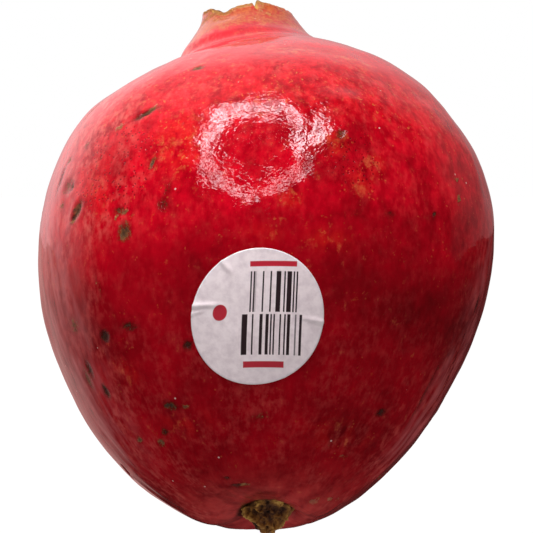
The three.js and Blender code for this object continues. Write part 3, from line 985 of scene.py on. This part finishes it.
# %% Scars
CORK_GRAIN, CORK_STOPS = 0.7, [(0.35, OLIVE), (0.65, CORK)]
CORKY_BAND, DARK_BAND, SCARRED = (0.2, 0.7), (0.15, 0.95), 0.85
BRUISE_BAND, BRUISED = (-0.3, 0.6), 0.6
ragged = skin.mixed((fine, 1.1), (crumbs, 0.7), base=-0.9)
bruise = skin.attribute("dark")
corky_mask = skin.calc("ADD", skin.attribute("corky"), ragged)
corky_part = skin.product(skin.band(corky_mask, *CORKY_BAND), SCARRED)
dark_part = skin.product(skin.band(skin.calc("ADD", bruise, ragged), *DARK_BAND), SCARRED)
cork_colour = skin.ramp(skin.noise(skin.place, CORK_GRAIN, roughness=0.7), CORK_STOPS)
colour = skin.layer(colour, UMBER_RED, bruise, *BRUISE_BAND, BRUISED)
colour = skin.blend(corky_part, colour, cork_colour)
colour = skin.blend(dark_part, colour, SOOT)

# %% Neck, torn edge, cup and stem end
NECK_STOPS, TORN_STOPS = [(0.35, NUT_BROWN), (0.65, OCHRE)], [(0.32, NUT_BROWN), (0.62, TAN)]
CUP_STOPS, NECK_BAND, TORN_BAND = [(0.36, DRY_EDGE), (0.62, TAN)], (0.6, 0.84), (0.45, 0.85)
DIMPLE_BAND, STAIN_BAND = (0.2, 0.7), (0.35, 0.9)
NECK_TANNED, SPLIT_SHOWN, EDGE_SHOWN, DIMPLE_SHOWN = 0.65, 0.6, 0.8, 0.7  # strengths
neck_cut = skin.mixed((skin.attribute("neck"), 0.25), (mottle, 0.6), (fine, 0.35))
colour = skin.layer(colour, skin.ramp(fine, NECK_STOPS), neck_cut, *NECK_BAND, NECK_TANNED)
torn = skin.calc("ADD", skin.attribute("torn"), skin.weighed(mottle, 1.3, -0.75))
colour = skin.blend(skin.band(torn, *TORN_BAND), colour, skin.ramp(fine, TORN_STOPS))
colour = skin.blend(skin.product(skin.attribute("split"), SPLIT_SHOWN), colour, STRAW_YELLOW)
colour = skin.blend(skin.product(skin.attribute("edge"), EDGE_SHOWN), colour, DRY_EDGE)
cup_colour = skin.ramp(skin.mixed((crumbs, 0.6), (mottle, 0.4)), CUP_STOPS)
colour = skin.blend(skin.attribute("cup"), colour, cup_colour)
# The dimple's dull rose is partly its own colour and partly painted light that lifts the shade under
# the fruit.
dimple_rose_and_painted_light = skin.product(skin.attribute("dimple"), skin.band(mottle, *DIMPLE_BAND))
colour = skin.blend(skin.product(dimple_rose_and_painted_light, DIMPLE_SHOWN), colour, DULL_ROSE)
stain = skin.calc("ADD", skin.attribute("halo"), skin.weighed(mottle, 0.8, -0.4))
colour = skin.blend(skin.band(stain, *STAIN_BAND), colour, RUST_BROWN)

# %% Gloss and crumple of the skin
CORKY_DULL, DARK_DULL, DIMPLE_DULL = 0.8, 0.4, 0.35
CRUMPLE_PRESS, CRUMPLES = (1, 1, 1.3), [(2.4, 0.5, 0.05), (0.9, 0.8, 0.036)]  # size, distortion, depth
RAISED = [(corky_part, 0.12), (dark_part, -0.16), (pore_part, -0.03)]  # where, and how deep
dull = skin.greater(skin.product(corky_part, CORKY_DULL), skin.product(dark_part, DARK_DULL))
dull = skin.greater(dull, skin.product(skin.attribute("dimple"), DIMPLE_DULL))
dull = skin.greater(dull, skin.greater(skin.attribute("cup"), skin.band(torn, *TORN_BAND)))
gloss = skin.add("MapRange", {"Value": dull, "To Min": GLOSSY, "To Max": MATT})
crumple_place = skin.pressed(skin.place, CRUMPLE_PRESS)
crumpled = skin.attribute("crumple")
relief = None
for size, distortion, depth in CRUMPLES:
    crease = skin.noise(crumple_place, size, detail=0, distortion=distortion)
    relief = skin.bump(skin.product(crease, crumpled), depth, relief)
for part, depth in RAISED:
    relief = skin.bump(part, depth, relief)
skin.dress({"Base Color": colour, "Roughness": gloss, "Normal": relief})
skin.give(rind, "rind", "fruit")

# %% [markdown]
# ## The stem stub
#
# Where the fruit was cut from the branch a stub of dry wood stays in the dimple: short, ribbed,
# cracked and torn at its end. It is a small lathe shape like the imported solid, with ridged noise on
# it: sharp ridges run where the noise crosses zero, with hollows between them. A displaced sphere
# would do as well, but the outline keeps the stub's length and its neck at known places.

# %% The stub's shape
STUB_STATIONS = [  # radius, height
    (0, -52.7),
    (4.4, -53.3),
    (5.6, -54.8),
    (4.9, -56.8),
    (3.2, -58.8),
    (1.3, -60.5),
    (0.7, -60.4),
    (0, -60.0),
]
STUB_ROWS, STUB_COLUMNS = 130, 160
STUB_RIBS, STUB_TEETH, MAIN, LESSER = 0.09, 0.4, 0.6, 0.4  # sizes, then shares of two sines
STUB_TORN, SHIFT_HEIGHTS, STUB_SHIFT = (0.5, 0.8), [-60, -54], (-0.6, 0.5)
STUB_CRAGS, CRAG_SLOPE = [(3.2, 0.75, 41), (1.3, 0.38, 42), (0.6, 0.16, 43)], 3  # cell, height, seed
CRAGS_BEGIN, CRAGS_END = (0, 0.12), (1, 0.9)  # shares of the outline
TIP_DARKER, TIP_ZONE = 0.7, (0.5, 0.7)


def stub_surface(share, angle):
    """The stub: its outline turned round the axis, with ribs and teeth.

    For the ribs the radius is times 1 + 0.09 (0.6 sin(5 angle + 1.3) + 0.4 sin(9 angle + height)).
    For the teeth the height grows by 0.4 (0.6 sin(3 angle + 0.5) + 0.4 sin(7 angle)) towards the
    torn end. The stub slants: its top is shifted to the right and its torn end to the left."""
    radius, height = np.moveaxis(spline(STUB_STATIONS, share), -1, 0)
    ribbed = MAIN * np.sin(5 * angle + 1.3) + LESSER * np.sin(9 * angle + height)
    toothed = MAIN * np.sin(3 * angle + 0.5) + LESSER * np.sin(7 * angle)
    torn_end = ease(*STUB_TORN, share) * np.minimum(1, radius)
    ribbed_radius = radius * (1 + STUB_RIBS * ribbed)
    points = round_axis(ribbed_radius, angle, height + STUB_TEETH * toothed * torn_end)
    points[..., 0] += np.interp(height, SHIFT_HEIGHTS, STUB_SHIFT)
    return points


def ridged(points, cell, height, seed):
    """Noise with sharp ridges: height times (1 - 3 |noise|)."""
    return height * (1 - CRAG_SLOPE * np.abs(lattice_noise(points, cell, seed)))


stub_share = np.linspace(0, 1, STUB_ROWS + 1)[:, None]
stub_skin = stub_surface(stub_share, -full_turn(STUB_COLUMNS)[None, :])
crags = sum(ridged(stub_skin, *crag) for crag in STUB_CRAGS)
crags = crags * ease(*CRAGS_BEGIN, stub_share) * ease(*CRAGS_END, stub_share)
stub_shape = stand(stub_skin + outward(stub_skin) * crags[..., None])
tones = crags - TIP_DARKER * ease(*TIP_ZONE, stub_share)
stub = closed_piece("stem_wood", stub_shape, {"crag": tones})

# %% The stub's dry wood
BARK, WOOD, PITH, GRIME = srgb(80, 42, 8), srgb(136, 88, 22), srgb(188, 144, 66), srgb(34, 14, 4)
WOOD_STOPS = [(0.08, GRIME), (0.32, BARK), (0.6, WOOD), (0.88, PITH)]
WOOD_FLECK, WOOD_GRAIN, WOOD_DEPTH = 0.8, 0.35, 0.12
wood = Finish("dry_stem", Roughness=0.85)
flecks = wood.noise(wood.place, WOOD_FLECK, detail=4, roughness=0.65)
tone = wood.mixed((flecks, 0.9), (wood.attribute("crag"), 0.4), base=0.09)
wood_grain = wood.noise(wood.place, WOOD_GRAIN, detail=4, roughness=0.6)
wood.dress({"Base Color": wood.ramp(tone, WOOD_STOPS), "Normal": wood.bump(wood_grain, WOOD_DEPTH)})
wood.give(stub, "dry_wood", "stem_stub")

# %% [markdown]
# ## The dried stamens
#
# In the cup stands a tuft of dried stamens on a mat of broken ones, which is sunk a little into the
# floor of the cup: bent filaments, each with a small anther at its tip. Hair curves would be
# lighter, but a mesh is also seen in the exported model. All filaments are worked out at once, as
# one array of tubes with a swelling at the end.

# %% Filaments and anthers
STAMENS, STAMEN_SEED = 150, 7
STAMEN_ROOT, SHORTEST, LONGEST = 41.9, 2.6, 4.6
OUTER_ROOT, INWARD_LEAN, OUTWARD_LEAN, LEAN_TURNS = 5.2, -0.5, 0.7, 0.7
TURN_SCATTER, SCATTER, MIDDLE_SCATTER, TIP_SCATTER = 0.2, 0.6, [1, 1, 0.3], [0.7, 0.7, 0]
NEVER_ALONG = [0.0, 1.0, 0.2]  # no stamen runs this way, so it serves to find their sides
GOLDEN_TURN = math.radians(137.5)
THICKNESS = np.array([0, 0.2, 0.2, 0.17, 0.15, 0.14, 0.16, 0.36, 0.46, 0.34, 0])  # from root to tip
TUBE_COLUMNS = 7


def stamen_tubes():
    """All stamens as an array of tubes: root, bend and tip give each a parabola, and each of its
    rows is a ring about the parabola, as wide as THICKNESS says there."""
    draw = np.random.default_rng(STAMEN_SEED)
    count = np.arange(STAMENS)
    radius = OUTER_ROOT * np.sqrt((count + 0.5) / STAMENS)
    angle = GOLDEN_TURN * count + draw.uniform(-TURN_SCATTER, TURN_SCATTER, STAMENS)
    lean_roots = [0, LEAN_TURNS * OUTER_ROOT, OUTER_ROOT]
    lean = np.interp(radius, lean_roots, [OUTWARD_LEAN, OUTWARD_LEAN, INWARD_LEAN])
    scatter = draw.uniform(-SCATTER, SCATTER, (2, STAMENS, 3)) * MIDDLE_SCATTER
    root = round_axis(radius, angle, STAMEN_ROOT)
    length = draw.uniform(SHORTEST, LONGEST, STAMENS)
    tip = round_axis(radius + lean, angle, STAMEN_ROOT + length) + scatter[0] * TIP_SCATTER
    middle = (root + tip) / 2 + scatter[1]
    share = np.linspace(0, 1, len(THICKNESS))[None, :, None]
    root, middle, tip = root[:, None], middle[:, None], tip[:, None]
    path = root * (1 - share) ** 2 + 2 * middle * share * (1 - share) + tip * share**2
    along = unit(np.gradient(path, axis=1))
    across = unit(np.cross(along, NEVER_ALONG))
    other = np.cross(along, across)
    turn = full_turn(TUBE_COLUMNS)[None, None, :, None]
    ring = across[:, :, None] * np.cos(turn) + other[:, :, None] * np.sin(turn)
    return path[:, :, None] + ring * (THICKNESS / 2)[None, :, None, None]


# %% The mat and the whole tuft
PAD_STATIONS = [(0, 40.8), (3.4, 40.4), (5.4, 41.0), (5.6, 42.3), (3.4, 42.0), (0, 42.4)]
PAD_ROWS, PAD_COLUMNS, PAD_TOP = 60, 120, (41.7, 42.1)
PAD_CRUMB, PAD_CELL, PAD_SEED = 0.16, 0.5, 51
pad_outline = spline(PAD_STATIONS, np.linspace(0, 1, PAD_ROWS + 1)[:, None])
pad = round_axis(pad_outline[..., 0], full_turn(PAD_COLUMNS)[None, :], pad_outline[..., 1])
pad_top = ease(*PAD_TOP, pad[..., 2])
pad[..., 2] += PAD_CRUMB * pad_top * lattice_noise(pad, PAD_CELL, PAD_SEED)
tubes = stamen_tubes()
one_tube = [grid_vertices(tube) for tube in tubes]
tuft_points = np.concatenate([grid_vertices(pad), *one_tube])
pad_faces = closed_grid_faces(PAD_ROWS, PAD_COLUMNS)
tube_faces = closed_grid_faces(len(THICKNESS) - 1, TUBE_COLUMNS)
starts = len(grid_vertices(pad)) + len(one_tube[0]) * np.arange(STAMENS)[:, None, None]
tuft_faces = [*pad_faces, *((part + starts).reshape(-1, part.shape[1]) for part in tube_faces)]
tip_share = np.broadcast_to(np.linspace(0, 1, len(THICKNESS))[:, None], tubes.shape[1:3])
tips = np.concatenate([np.zeros(len(grid_vertices(pad))), np.tile(grid_vertices(tip_share), STAMENS)])
tuft_points[:, 0] += CUP_SHIFT
tuft = make_piece("dried_tuft", stand(tuft_points), tuft_faces, {"tip": tips})

# %% The stamens' finish
STRAW, RUST, UMBER = srgb(196, 150, 88), srgb(140, 78, 38), srgb(70, 38, 20)
STRAW_STOPS = [(0.25, UMBER), (0.5, RUST), (0.72, STRAW)]
STRAW_CLOUD, STRAW_GRAIN, STRAW_DEPTH = 1.1, 0.25, 0.05
straw = Finish("dried_stamen", Roughness=0.8)
tip_tone = straw.mixed((straw.attribute("tip"), 0.5), (straw.noise(straw.place, STRAW_CLOUD), 0.7))
straw_relief = straw.bump(straw.noise(straw.place, STRAW_GRAIN, detail=2), STRAW_DEPTH)
straw.dress({"Base Color": straw.ramp(tip_tone, STRAW_STOPS), "Normal": straw_relief})
straw.give(tuft, "dry_stamen", "stamens")

# %% [markdown]
# ## The label
#
# The sticker is thin paper that was pressed on a round fruit, so it has small creases from its edge
# inwards. Its sheet follows the same waves as the skin, just above it. It is one closed grid: from
# the middle of the face out to the edge, and back underneath. The print is worked out in the
# finish, on the label's own millimetres: two rows of plain bars, two dashes and one dot. A small
# picture could carry the print too, but it would blur near by.

# %% The label's sheet
LABEL_ANGLE, LABEL_HEIGHT = math.radians(-0.9), -27.2
LABEL_HALF_WIDTH, LABEL_HALF_HEIGHT = 13.3, 12.3
LABEL_RINGS, LABEL_COLUMNS = 46, 240
LABEL_GAP, PAPER = 0.06, 0.08
CREASES = [  # from x, y to x, y on the label, height, half width
    (-14.0, 2.3, -6.5, 2.0, 0.5, 0.45),
    (-13.6, 0.7, -9.6, 1.4, 0.26, 0.3),
    (14.0, -0.9, 8.0, -0.4, 0.42, 0.4),
    (-8.4, 11.0, -4.6, 7.0, 0.48, 0.55),
    (6.5, -12.6, 5.4, -9.6, 0.2, 0.35),
]
LIFTED_EDGE, LIFT_FROM, LIFT_CELL, LIFT_SEED = 0.1, 0.93, 9, 61


def crease_height(place):
    """The highest of the creases at places on the label: each falls off like a bell across its line,
    and towards its inner end."""
    total = np.zeros(place.shape[:-1])
    for x0, y0, x1, y1, height, half_width in CREASES:
        start, way = np.array([x0, y0]), np.array([x1 - x0, y1 - y0])
        share = np.clip((place - start) @ way / (way @ way), 0, 1)
        aside = np.linalg.norm(place - start - share[..., None] * way, axis=-1)
        total = np.maximum(total, height * (1 - share**2) * np.exp(-((aside / half_width) ** 2)))
    return total


ring_share = np.linspace(0, 1, LABEL_RINGS + 1)
spread = np.concatenate([ring_share, ring_share[::-1]])[:, None]
on_face = np.arange(len(spread))[:, None] <= LABEL_RINGS
clock = full_turn(LABEL_COLUMNS)[None, :]
label_x = LABEL_HALF_WIDTH * spread * np.sin(clock)
label_y = LABEL_HALF_HEIGHT * spread * np.cos(clock)
label_place = np.stack([label_x, label_y], axis=-1)
label_share = np.interp(LABEL_HEIGHT + label_place[..., 1], OUTER_HEIGHTS, OUTER_SHARES)
label_radius = spline(RIND_STATIONS, label_share)[..., 0]
label_angle = LABEL_ANGLE + label_place[..., 0] / label_radius
under = rind_surface(label_share, label_angle)
label_right = rind_surface(label_share, label_angle + SMALL_STEP) - under
label_up = rind_surface(label_share + SMALL_STEP, label_angle) - under
label_out = unit(np.cross(label_right, label_up))
lifted = np.maximum(0, lattice_noise(under, LIFT_CELL, LIFT_SEED))
edge_lift = LIFTED_EDGE * ease(LIFT_FROM, 1.0, spread) * lifted
above = LABEL_GAP + skin_waves(under) + crease_height(label_place) + edge_lift + PAPER * on_face
sheet = stand(under + label_out * above[..., None])
print_place = np.concatenate([label_place, np.zeros_like(label_place[..., :1])], axis=-1)
label = closed_piece("paper_label", sheet, {"print": print_place})

# %% The label's paper and print
PAPER_WHITE, PAPER_SHADE = srgb(238, 226, 228), srgb(220, 206, 210)
INK_BLACK, INK_RED = srgb(44, 34, 38), srgb(184, 34, 52)
paper = Finish("gloss_paper", Roughness=0.3, Coat_Weight=0.3, Coat_Roughness=0.14)
print_spot = paper.attribute("print", "Vector")
print_right = paper.add("SeparateXYZ", {0: print_spot})
print_up = print_right.node.outputs[1]
PRINT_SOFT = 0.06


def window(value, middle, half):
    """1 where a value lies within half of a middle, and 0 further out."""
    away = paper.calc("ABSOLUTE", paper.calc("SUBTRACT", value, middle))
    return paper.band(away, half + PRINT_SOFT, half - PRINT_SOFT)


def block(middle, halves):
    """1 inside an upright rectangle of the print, and 0 outside."""
    across, upward = zip(middle, halves)
    return paper.product(window(print_right, *across), window(print_up, *upward))


# %% Plain bars, dashes and a dot
BAR_PITCH, BAR_SHARE, BAR_SOFT, BAR_SEEDS = 0.3, 0.46, 0.01, (0.5, 200.5)
BAR_ROWS = [((4.2, 4.2), (5.7, 3.7)), ((3.0, -3.5), (5.9, 3.6))]  # middle, half sizes
DASHES = [((2.9, 9.3), (4.6, 0.5)), ((1.6, -8.8), (4.0, 0.55))]  # the same
DOT_MIDDLE, DOT_EDGE = (-7.4, 0.6, 0), (1.5, 1.4)


def bar_row(middle, halves, seed):
    """A row of upright bars: each pitch is inked or bare by its own random number."""
    number = paper.calc("FLOOR", paper.calc("DIVIDE", print_right, BAR_PITCH))
    numbered = {"W": paper.calc("ADD", number, seed)}
    chance = paper.add("TexWhiteNoise", numbered, noise_dimensions="1D")
    inked = paper.band(chance, BAR_SHARE + BAR_SOFT, BAR_SHARE - BAR_SOFT)
    return paper.product(inked, block(middle, halves))


bars = paper.greater(*[bar_row(*row, seed) for row, seed in zip(BAR_ROWS, BAR_SEEDS)])
red_part = paper.greater(*[block(*dash) for dash in DASHES])
dot_away = {0: print_spot, 1: DOT_MIDDLE}
dot_away = paper.add("VectorMath", dot_away, output=1, operation="DISTANCE")
red_part = paper.greater(red_part, paper.band(dot_away, *DOT_EDGE))

# %% The paper itself
FIBRE, FIBRE_STOPS = 1.6, [(0.3, PAPER_SHADE), (0.6, PAPER_WHITE)]
PAPER_RELIEFS = [(0.5, 3, 0.03), (4.5, 2, 0.16)]  # size, detail, depth
fibres = paper.noise(paper.place, FIBRE, detail=4, roughness=0.6)
sheet_colour = paper.ramp(fibres, FIBRE_STOPS)
sheet_colour = paper.blend(red_part, sheet_colour, INK_RED)
sheet_colour = paper.blend(bars, sheet_colour, INK_BLACK)
paper_relief = None
for size, detail, depth in PAPER_RELIEFS:
    paper_relief = paper.bump(paper.noise(paper.place, size, detail), depth, paper_relief)
paper.dress({"Base Color": sheet_colour, "Normal": paper_relief})
paper.give(label, "label_paper", "label")

# %% [markdown]
# ## Stage, light and camera
#
# The fruit stands on a wide pale floor, before a surround that the camera sees as white. A glowing
# frame of rounded rectangles with a creased lining hangs in front and above. It gives the ring of
# gloss on the shoulder, and a soft lamp near it lights the skin. To the fruit, the surround is a dim
# red with a pale light above and behind, and pink ones behind at both sides. So its edges catch a
# sheen, and its lower side falls into shade. A picture of a room could light it too, but here each
# light can be set by itself.

# %% A light of the surround
def toward(tree, direction, low, high, strength):
    """A strength that grows as a ray turns to a direction, from low to high of their cosine."""
    ray = add_node(tree, "TexCoord", output="Generated")
    aim = tuple(unit(np.array(direction, float)))
    cosine = add_node(tree, "VectorMath", {0: ray, 1: aim}, output=1, operation="DOT_PRODUCT")
    values = {"Value": cosine, "From Min": low, "From Max": high, "To Max": strength}
    return add_node(tree, "MapRange", values, interpolation_type="SMOOTHSTEP")


# %% The floor
FLOOR_HALF, FLOOR_DROP = 6.0, 0.0002
SHADOW_SHARE, FLOOR_TONE, FLOOR_GLOW, FLOOR_LIGHT = 0.10, 0.42, 1.12, 0.68
SHEEN_WAY, SHEEN_FROM, SHEEN_TO = (-0.6, 0.8, 0), 0.6, 0.97
SHEEN_DIM, SHEEN_BRIGHT = (0.1, 0.02, 0.02, 1), (0.66, 0.33, 0.31, 1)
FLOOR_CORNERS = FLOOR_HALF * np.array([(-1, -1), (1, -1), (1, 1), (-1, 1)])
floor_mesh = bpy.data.meshes.new("floor")
floor_corners = [(x, y, -FLOOR_DROP) for x, y in FLOOR_CORNERS]
floor_mesh.from_pydata(floor_corners, [], [(0, 1, 2, 3)])
floor = add_object("floor", floor_mesh)
ground = bpy.data.materials.new("pale_floor")
tree = bare_tree(ground)
matt = add_node(tree, "BsdfDiffuse", {"Color": (FLOOR_TONE, FLOOR_TONE, FLOOR_TONE, 1)})
white = add_node(tree, "Emission", {"Strength": FLOOR_GLOW})
seen = add_node(tree, "LightPath", output="Is Camera Ray")
mirrored = add_node(tree, "LightPath", output="Is Glossy Ray")
scattered = add_node(tree, "LightPath", output="Is Diffuse Ray")
floor_spot = add_node(tree, "TexCoord", output="Object")
floor_way = {0: add_node(tree, "VectorMath", {0: floor_spot}, operation="NORMALIZE"), 1: SHEEN_WAY}
behind = add_node(tree, "VectorMath", floor_way, output=1, operation="DOT_PRODUCT")
far = {"Value": behind, "From Min": SHEEN_FROM, "From Max": SHEEN_TO}
far = add_node(tree, "MapRange", far, interpolation_type="SMOOTHSTEP")
sheen = add_node(tree, "Mix", {0: far, 6: SHEEN_DIM, 7: SHEEN_BRIGHT}, output=2, data_type="RGBA")
far_glow = add_node(tree, "Emission", {"Color": sheen})
table_glow = add_node(tree, "Emission", {"Strength": FLOOR_LIGHT})
white_share = add_node(tree, "Math", {0: seen, 1: 1 - SHADOW_SHARE}, operation="MULTIPLY")
surface = add_node(tree, "MixShader", {0: white_share, 1: matt, 2: white})
surface = add_node(tree, "MixShader", {0: scattered, 1: surface, 2: table_glow})
surface = add_node(tree, "MixShader", {0: mirrored, 1: surface, 2: far_glow})
add_node(tree, "OutputMaterial", {"Surface": surface})
floor_mesh.materials.append(ground)
print("floor:", 2 * FLOOR_HALF, "m wide")

# %% The surround
WHITE, PINK = (0.96, 0.97, 1.03), (1.0, 0.52, 0.52)
LIGHTS = [  # direction, least and greatest cosine, strength, colour
    ((-0.35, 0.8, 1), 0.5, 1.0, 0.72, (0.95, 0.95, 0.97)),
    ((-0.3, 1, 0.1), 0.6, 1.0, 0.35, PINK),
    ((-0.9, 0.85, 0.1), 0.68, 1.0, 0.6, PINK),
    ((0.9, 0.9, 0.3), 0.8, 1.0, 0.3, PINK),
]
FILLS = [  # the same for the light that only scatters
    ((-1, 0.05, 0.0), 0.2, 1.0, 0.6, WHITE),
    ((1, 0.2, 0.1), 0.2, 1.0, 0.45, WHITE),
]
DIM_GLOW, SOFT_FILL = (0.085, 0.014, 0.016), (0.06, 0.06, 0.065)
world = bpy.data.worlds.new("surround")
bpy.context.scene.world = world
tree = bare_tree(world)


def summed(lights, start):
    """The sum of coloured lights, from a colour on."""
    total = start
    for direction, low, high, strength, colour in lights:
        part = toward(tree, direction, low, high, strength)
        part = add_node(tree, "VectorMath", {0: colour, "Scale": part}, operation="SCALE")
        total = add_node(tree, "VectorMath", {0: part, 1: total}, operation="ADD")
    return total


scattered = add_node(tree, "LightPath", output="Is Diffuse Ray")
fill = {0: summed(FILLS, SOFT_FILL), "Scale": scattered}
fill = add_node(tree, "VectorMath", fill, operation="SCALE")
total = add_node(tree, "VectorMath", {0: summed(LIGHTS, DIM_GLOW), 1: fill}, operation="ADD")
soft = add_node(tree, "Background", {"Strength": 1.0, "Color": total})
plain = add_node(tree, "Background", {"Strength": 1.0, "Color": (1, 1, 1, 1)})
seen = add_node(tree, "LightPath", output="Is Camera Ray")
backdrop = add_node(tree, "MixShader", {0: seen, 1: soft, 2: plain})
add_node(tree, "OutputWorld", {"Surface": backdrop})
print("surround lights:", len(LIGHTS) + len(FILLS))

# %% The reflector
FRUIT_MIDDLE = np.array([0.0, 0.0, 0.058])
LIGHT_RINGS, LIGHT_COLUMNS, SQUARENESS, EDGE_POWER = 9, 72, 2.8, 6
LOWER_ZONE, TOP_ZONE, TOP_DIM = (-0.6, 0.3), (0.5, 1), 0.2  # in the sine of the clock angle
LINING_CREASE, LINING_BAND, LINING_LEAST = 0.028, (0.46, 0.56), 0.1
LAMP_COLOUR = (1, 0.93, 1, 1)


def ring_light(name, azimuth, elevation, distance, roll, outer, inner, hole_at, strength, lower):
    """A flat glowing frame that faces the fruit: rounded rectangles one inside the other, with quads
    between them. A point of a rectangle lies half its width times cos to the right and half its
    height times sin upward, both times (|cos|^p + |sin|^p)^(-1/p), at an angle round the frame.
    Azimuth 0 is in front and 90 at the right, and the frame is rolled, its right side going up. The
    hole's middle lies at hole_at, rightward and upward. The glow is softer at both edges, as
    1 - s^6 with s from -1 to 1 across the frame. It falls to the share `lower` at its lower side,
    and by the share TOP_DIM at its top, and the creases of its lining dim it in places."""
    away = np.array(round_axis(math.cos(elevation), azimuth, math.sin(elevation)))
    side = unit(np.cross([0.0, 0.0, 1.0], away))
    top = np.cross(away, side)
    rolled_side = side * math.cos(roll) + top * math.sin(roll)
    rolled_top = top * math.cos(roll) - side * math.sin(roll)
    turn = full_turn(LIGHT_COLUMNS)[None, :, None]
    share = np.linspace(0, 1, LIGHT_RINGS)[:, None, None]
    halves = np.array(inner) + (np.array(outer) - inner) * share
    powers = np.abs(np.cos(turn)) ** SQUARENESS + np.abs(np.sin(turn)) ** SQUARENESS
    square = powers ** (-1 / SQUARENESS)
    right = halves[..., :1] * np.cos(turn) * square + hole_at[0] * (1 - share)
    up = halves[..., 1:] * np.sin(turn) * square + hole_at[1] * (1 - share)
    points = FRUIT_MIDDLE + distance * away + right * rolled_side + up * rolled_top
    lowered = lower + (1 - lower) * ease(*LOWER_ZONE, np.sin(turn))
    levels = (1 - (2 * share - 1) ** EDGE_POWER) * lowered
    levels = levels * (1 - TOP_DIM * ease(*TOP_ZONE, np.sin(turn)))
    ring = np.arange(LIGHT_COLUMNS)
    beside = (ring + 1) % LIGHT_COLUMNS
    start = LIGHT_COLUMNS * np.arange(LIGHT_RINGS - 1)[:, None]
    after = start + LIGHT_COLUMNS
    quads = np.stack([start + ring, start + beside, after + beside, after + ring], axis=-1)
    mesh = bpy.data.meshes.new(name)
    mesh.from_pydata(points.reshape(-1, 3).tolist(), [], quads.reshape(-1, 4).tolist())
    level = mesh.attributes.new("level", "FLOAT", "POINT")
    level.data.foreach_set("value", (levels * strength).astype(np.float32).ravel())
    lamp = add_object(name, mesh)
    lamp.visible_camera = False
    lamp.visible_diffuse = False
    glow = bpy.data.materials.new(name)
    tree = bare_tree(glow)
    read = add_node(tree, "Attribute", output="Fac", attribute_name="level")
    spot = add_node(tree, "TexCoord", output="Object")
    creased = add_node(tree, "TexNoise", {"Vector": spot, "Scale": 1 / LINING_CREASE, "Detail": 2.0})
    low, high = LINING_BAND
    lining = {"Value": creased, "From Min": low, "From Max": high, "To Min": LINING_LEAST}
    lined = add_node(tree, "MapRange", lining, interpolation_type="SMOOTHSTEP")
    shine = add_node(tree, "Math", {0: read, 1: lined}, operation="MULTIPLY")
    shown = add_node(tree, "Emission", {"Strength": shine, "Color": LAMP_COLOUR})
    add_node(tree, "OutputMaterial", {"Surface": shown})
    mesh.materials.append(glow)
    print(name, "faces", len(mesh.polygons))


ring_light(
    "reflector",
    azimuth=math.radians(-12),
    elevation=math.radians(54.5),
    distance=0.55,
    roll=math.radians(10),
    outer=(0.214, 0.27),
    inner=(0.136, 0.162),
    hole_at=(0.006, -0.04),
    strength=23.0,
    lower=0.5,
)

# %% The soft key light
KEY_AZIMUTH, KEY_ELEVATION = math.radians(-26), math.radians(67)
KEY_AWAY, KEY_SIZE, KEY_POWER = 0.7, 0.45, 12.4
key_way = round_axis(math.cos(KEY_ELEVATION), KEY_AZIMUTH, math.sin(KEY_ELEVATION))
key_data = bpy.data.lights.new("soft_key", "AREA")
key_data.shape, key_data.size, key_data.energy = "DISK", KEY_SIZE, KEY_POWER
key = add_object("soft_key", key_data)
key.location = (FRUIT_MIDDLE + KEY_AWAY * key_way).tolist()
key.rotation_euler = (math.pi / 2 - KEY_ELEVATION, 0, KEY_AZIMUTH)
key.visible_glossy = False
print("key light at", [round(value, 2) for value in key.location])

# %% The camera
LENS, SENSOR, CAMERA_AWAY = 240.1, 36.0, 0.750
CAMERA_ELEVATION = math.radians(1.5)
SHIFT_X, SHIFT_Y = -0.0009, -0.0310
aim = GIRTH_MIDDLE * MM
eye = aim + CAMERA_AWAY * np.array([0, -math.cos(CAMERA_ELEVATION), math.sin(CAMERA_ELEVATION)])
camera_data = bpy.data.cameras.new("camera")
camera_data.lens = LENS
camera_data.sensor_width = SENSOR
camera_data.shift_x, camera_data.shift_y = SHIFT_X, SHIFT_Y
camera = add_object("camera", camera_data)
camera.location = eye.tolist()
camera.rotation_euler = (math.pi / 2 - CAMERA_ELEVATION, 0, 0)
bpy.context.scene.camera = camera
bpy.context.scene.view_settings.view_transform = "Standard"
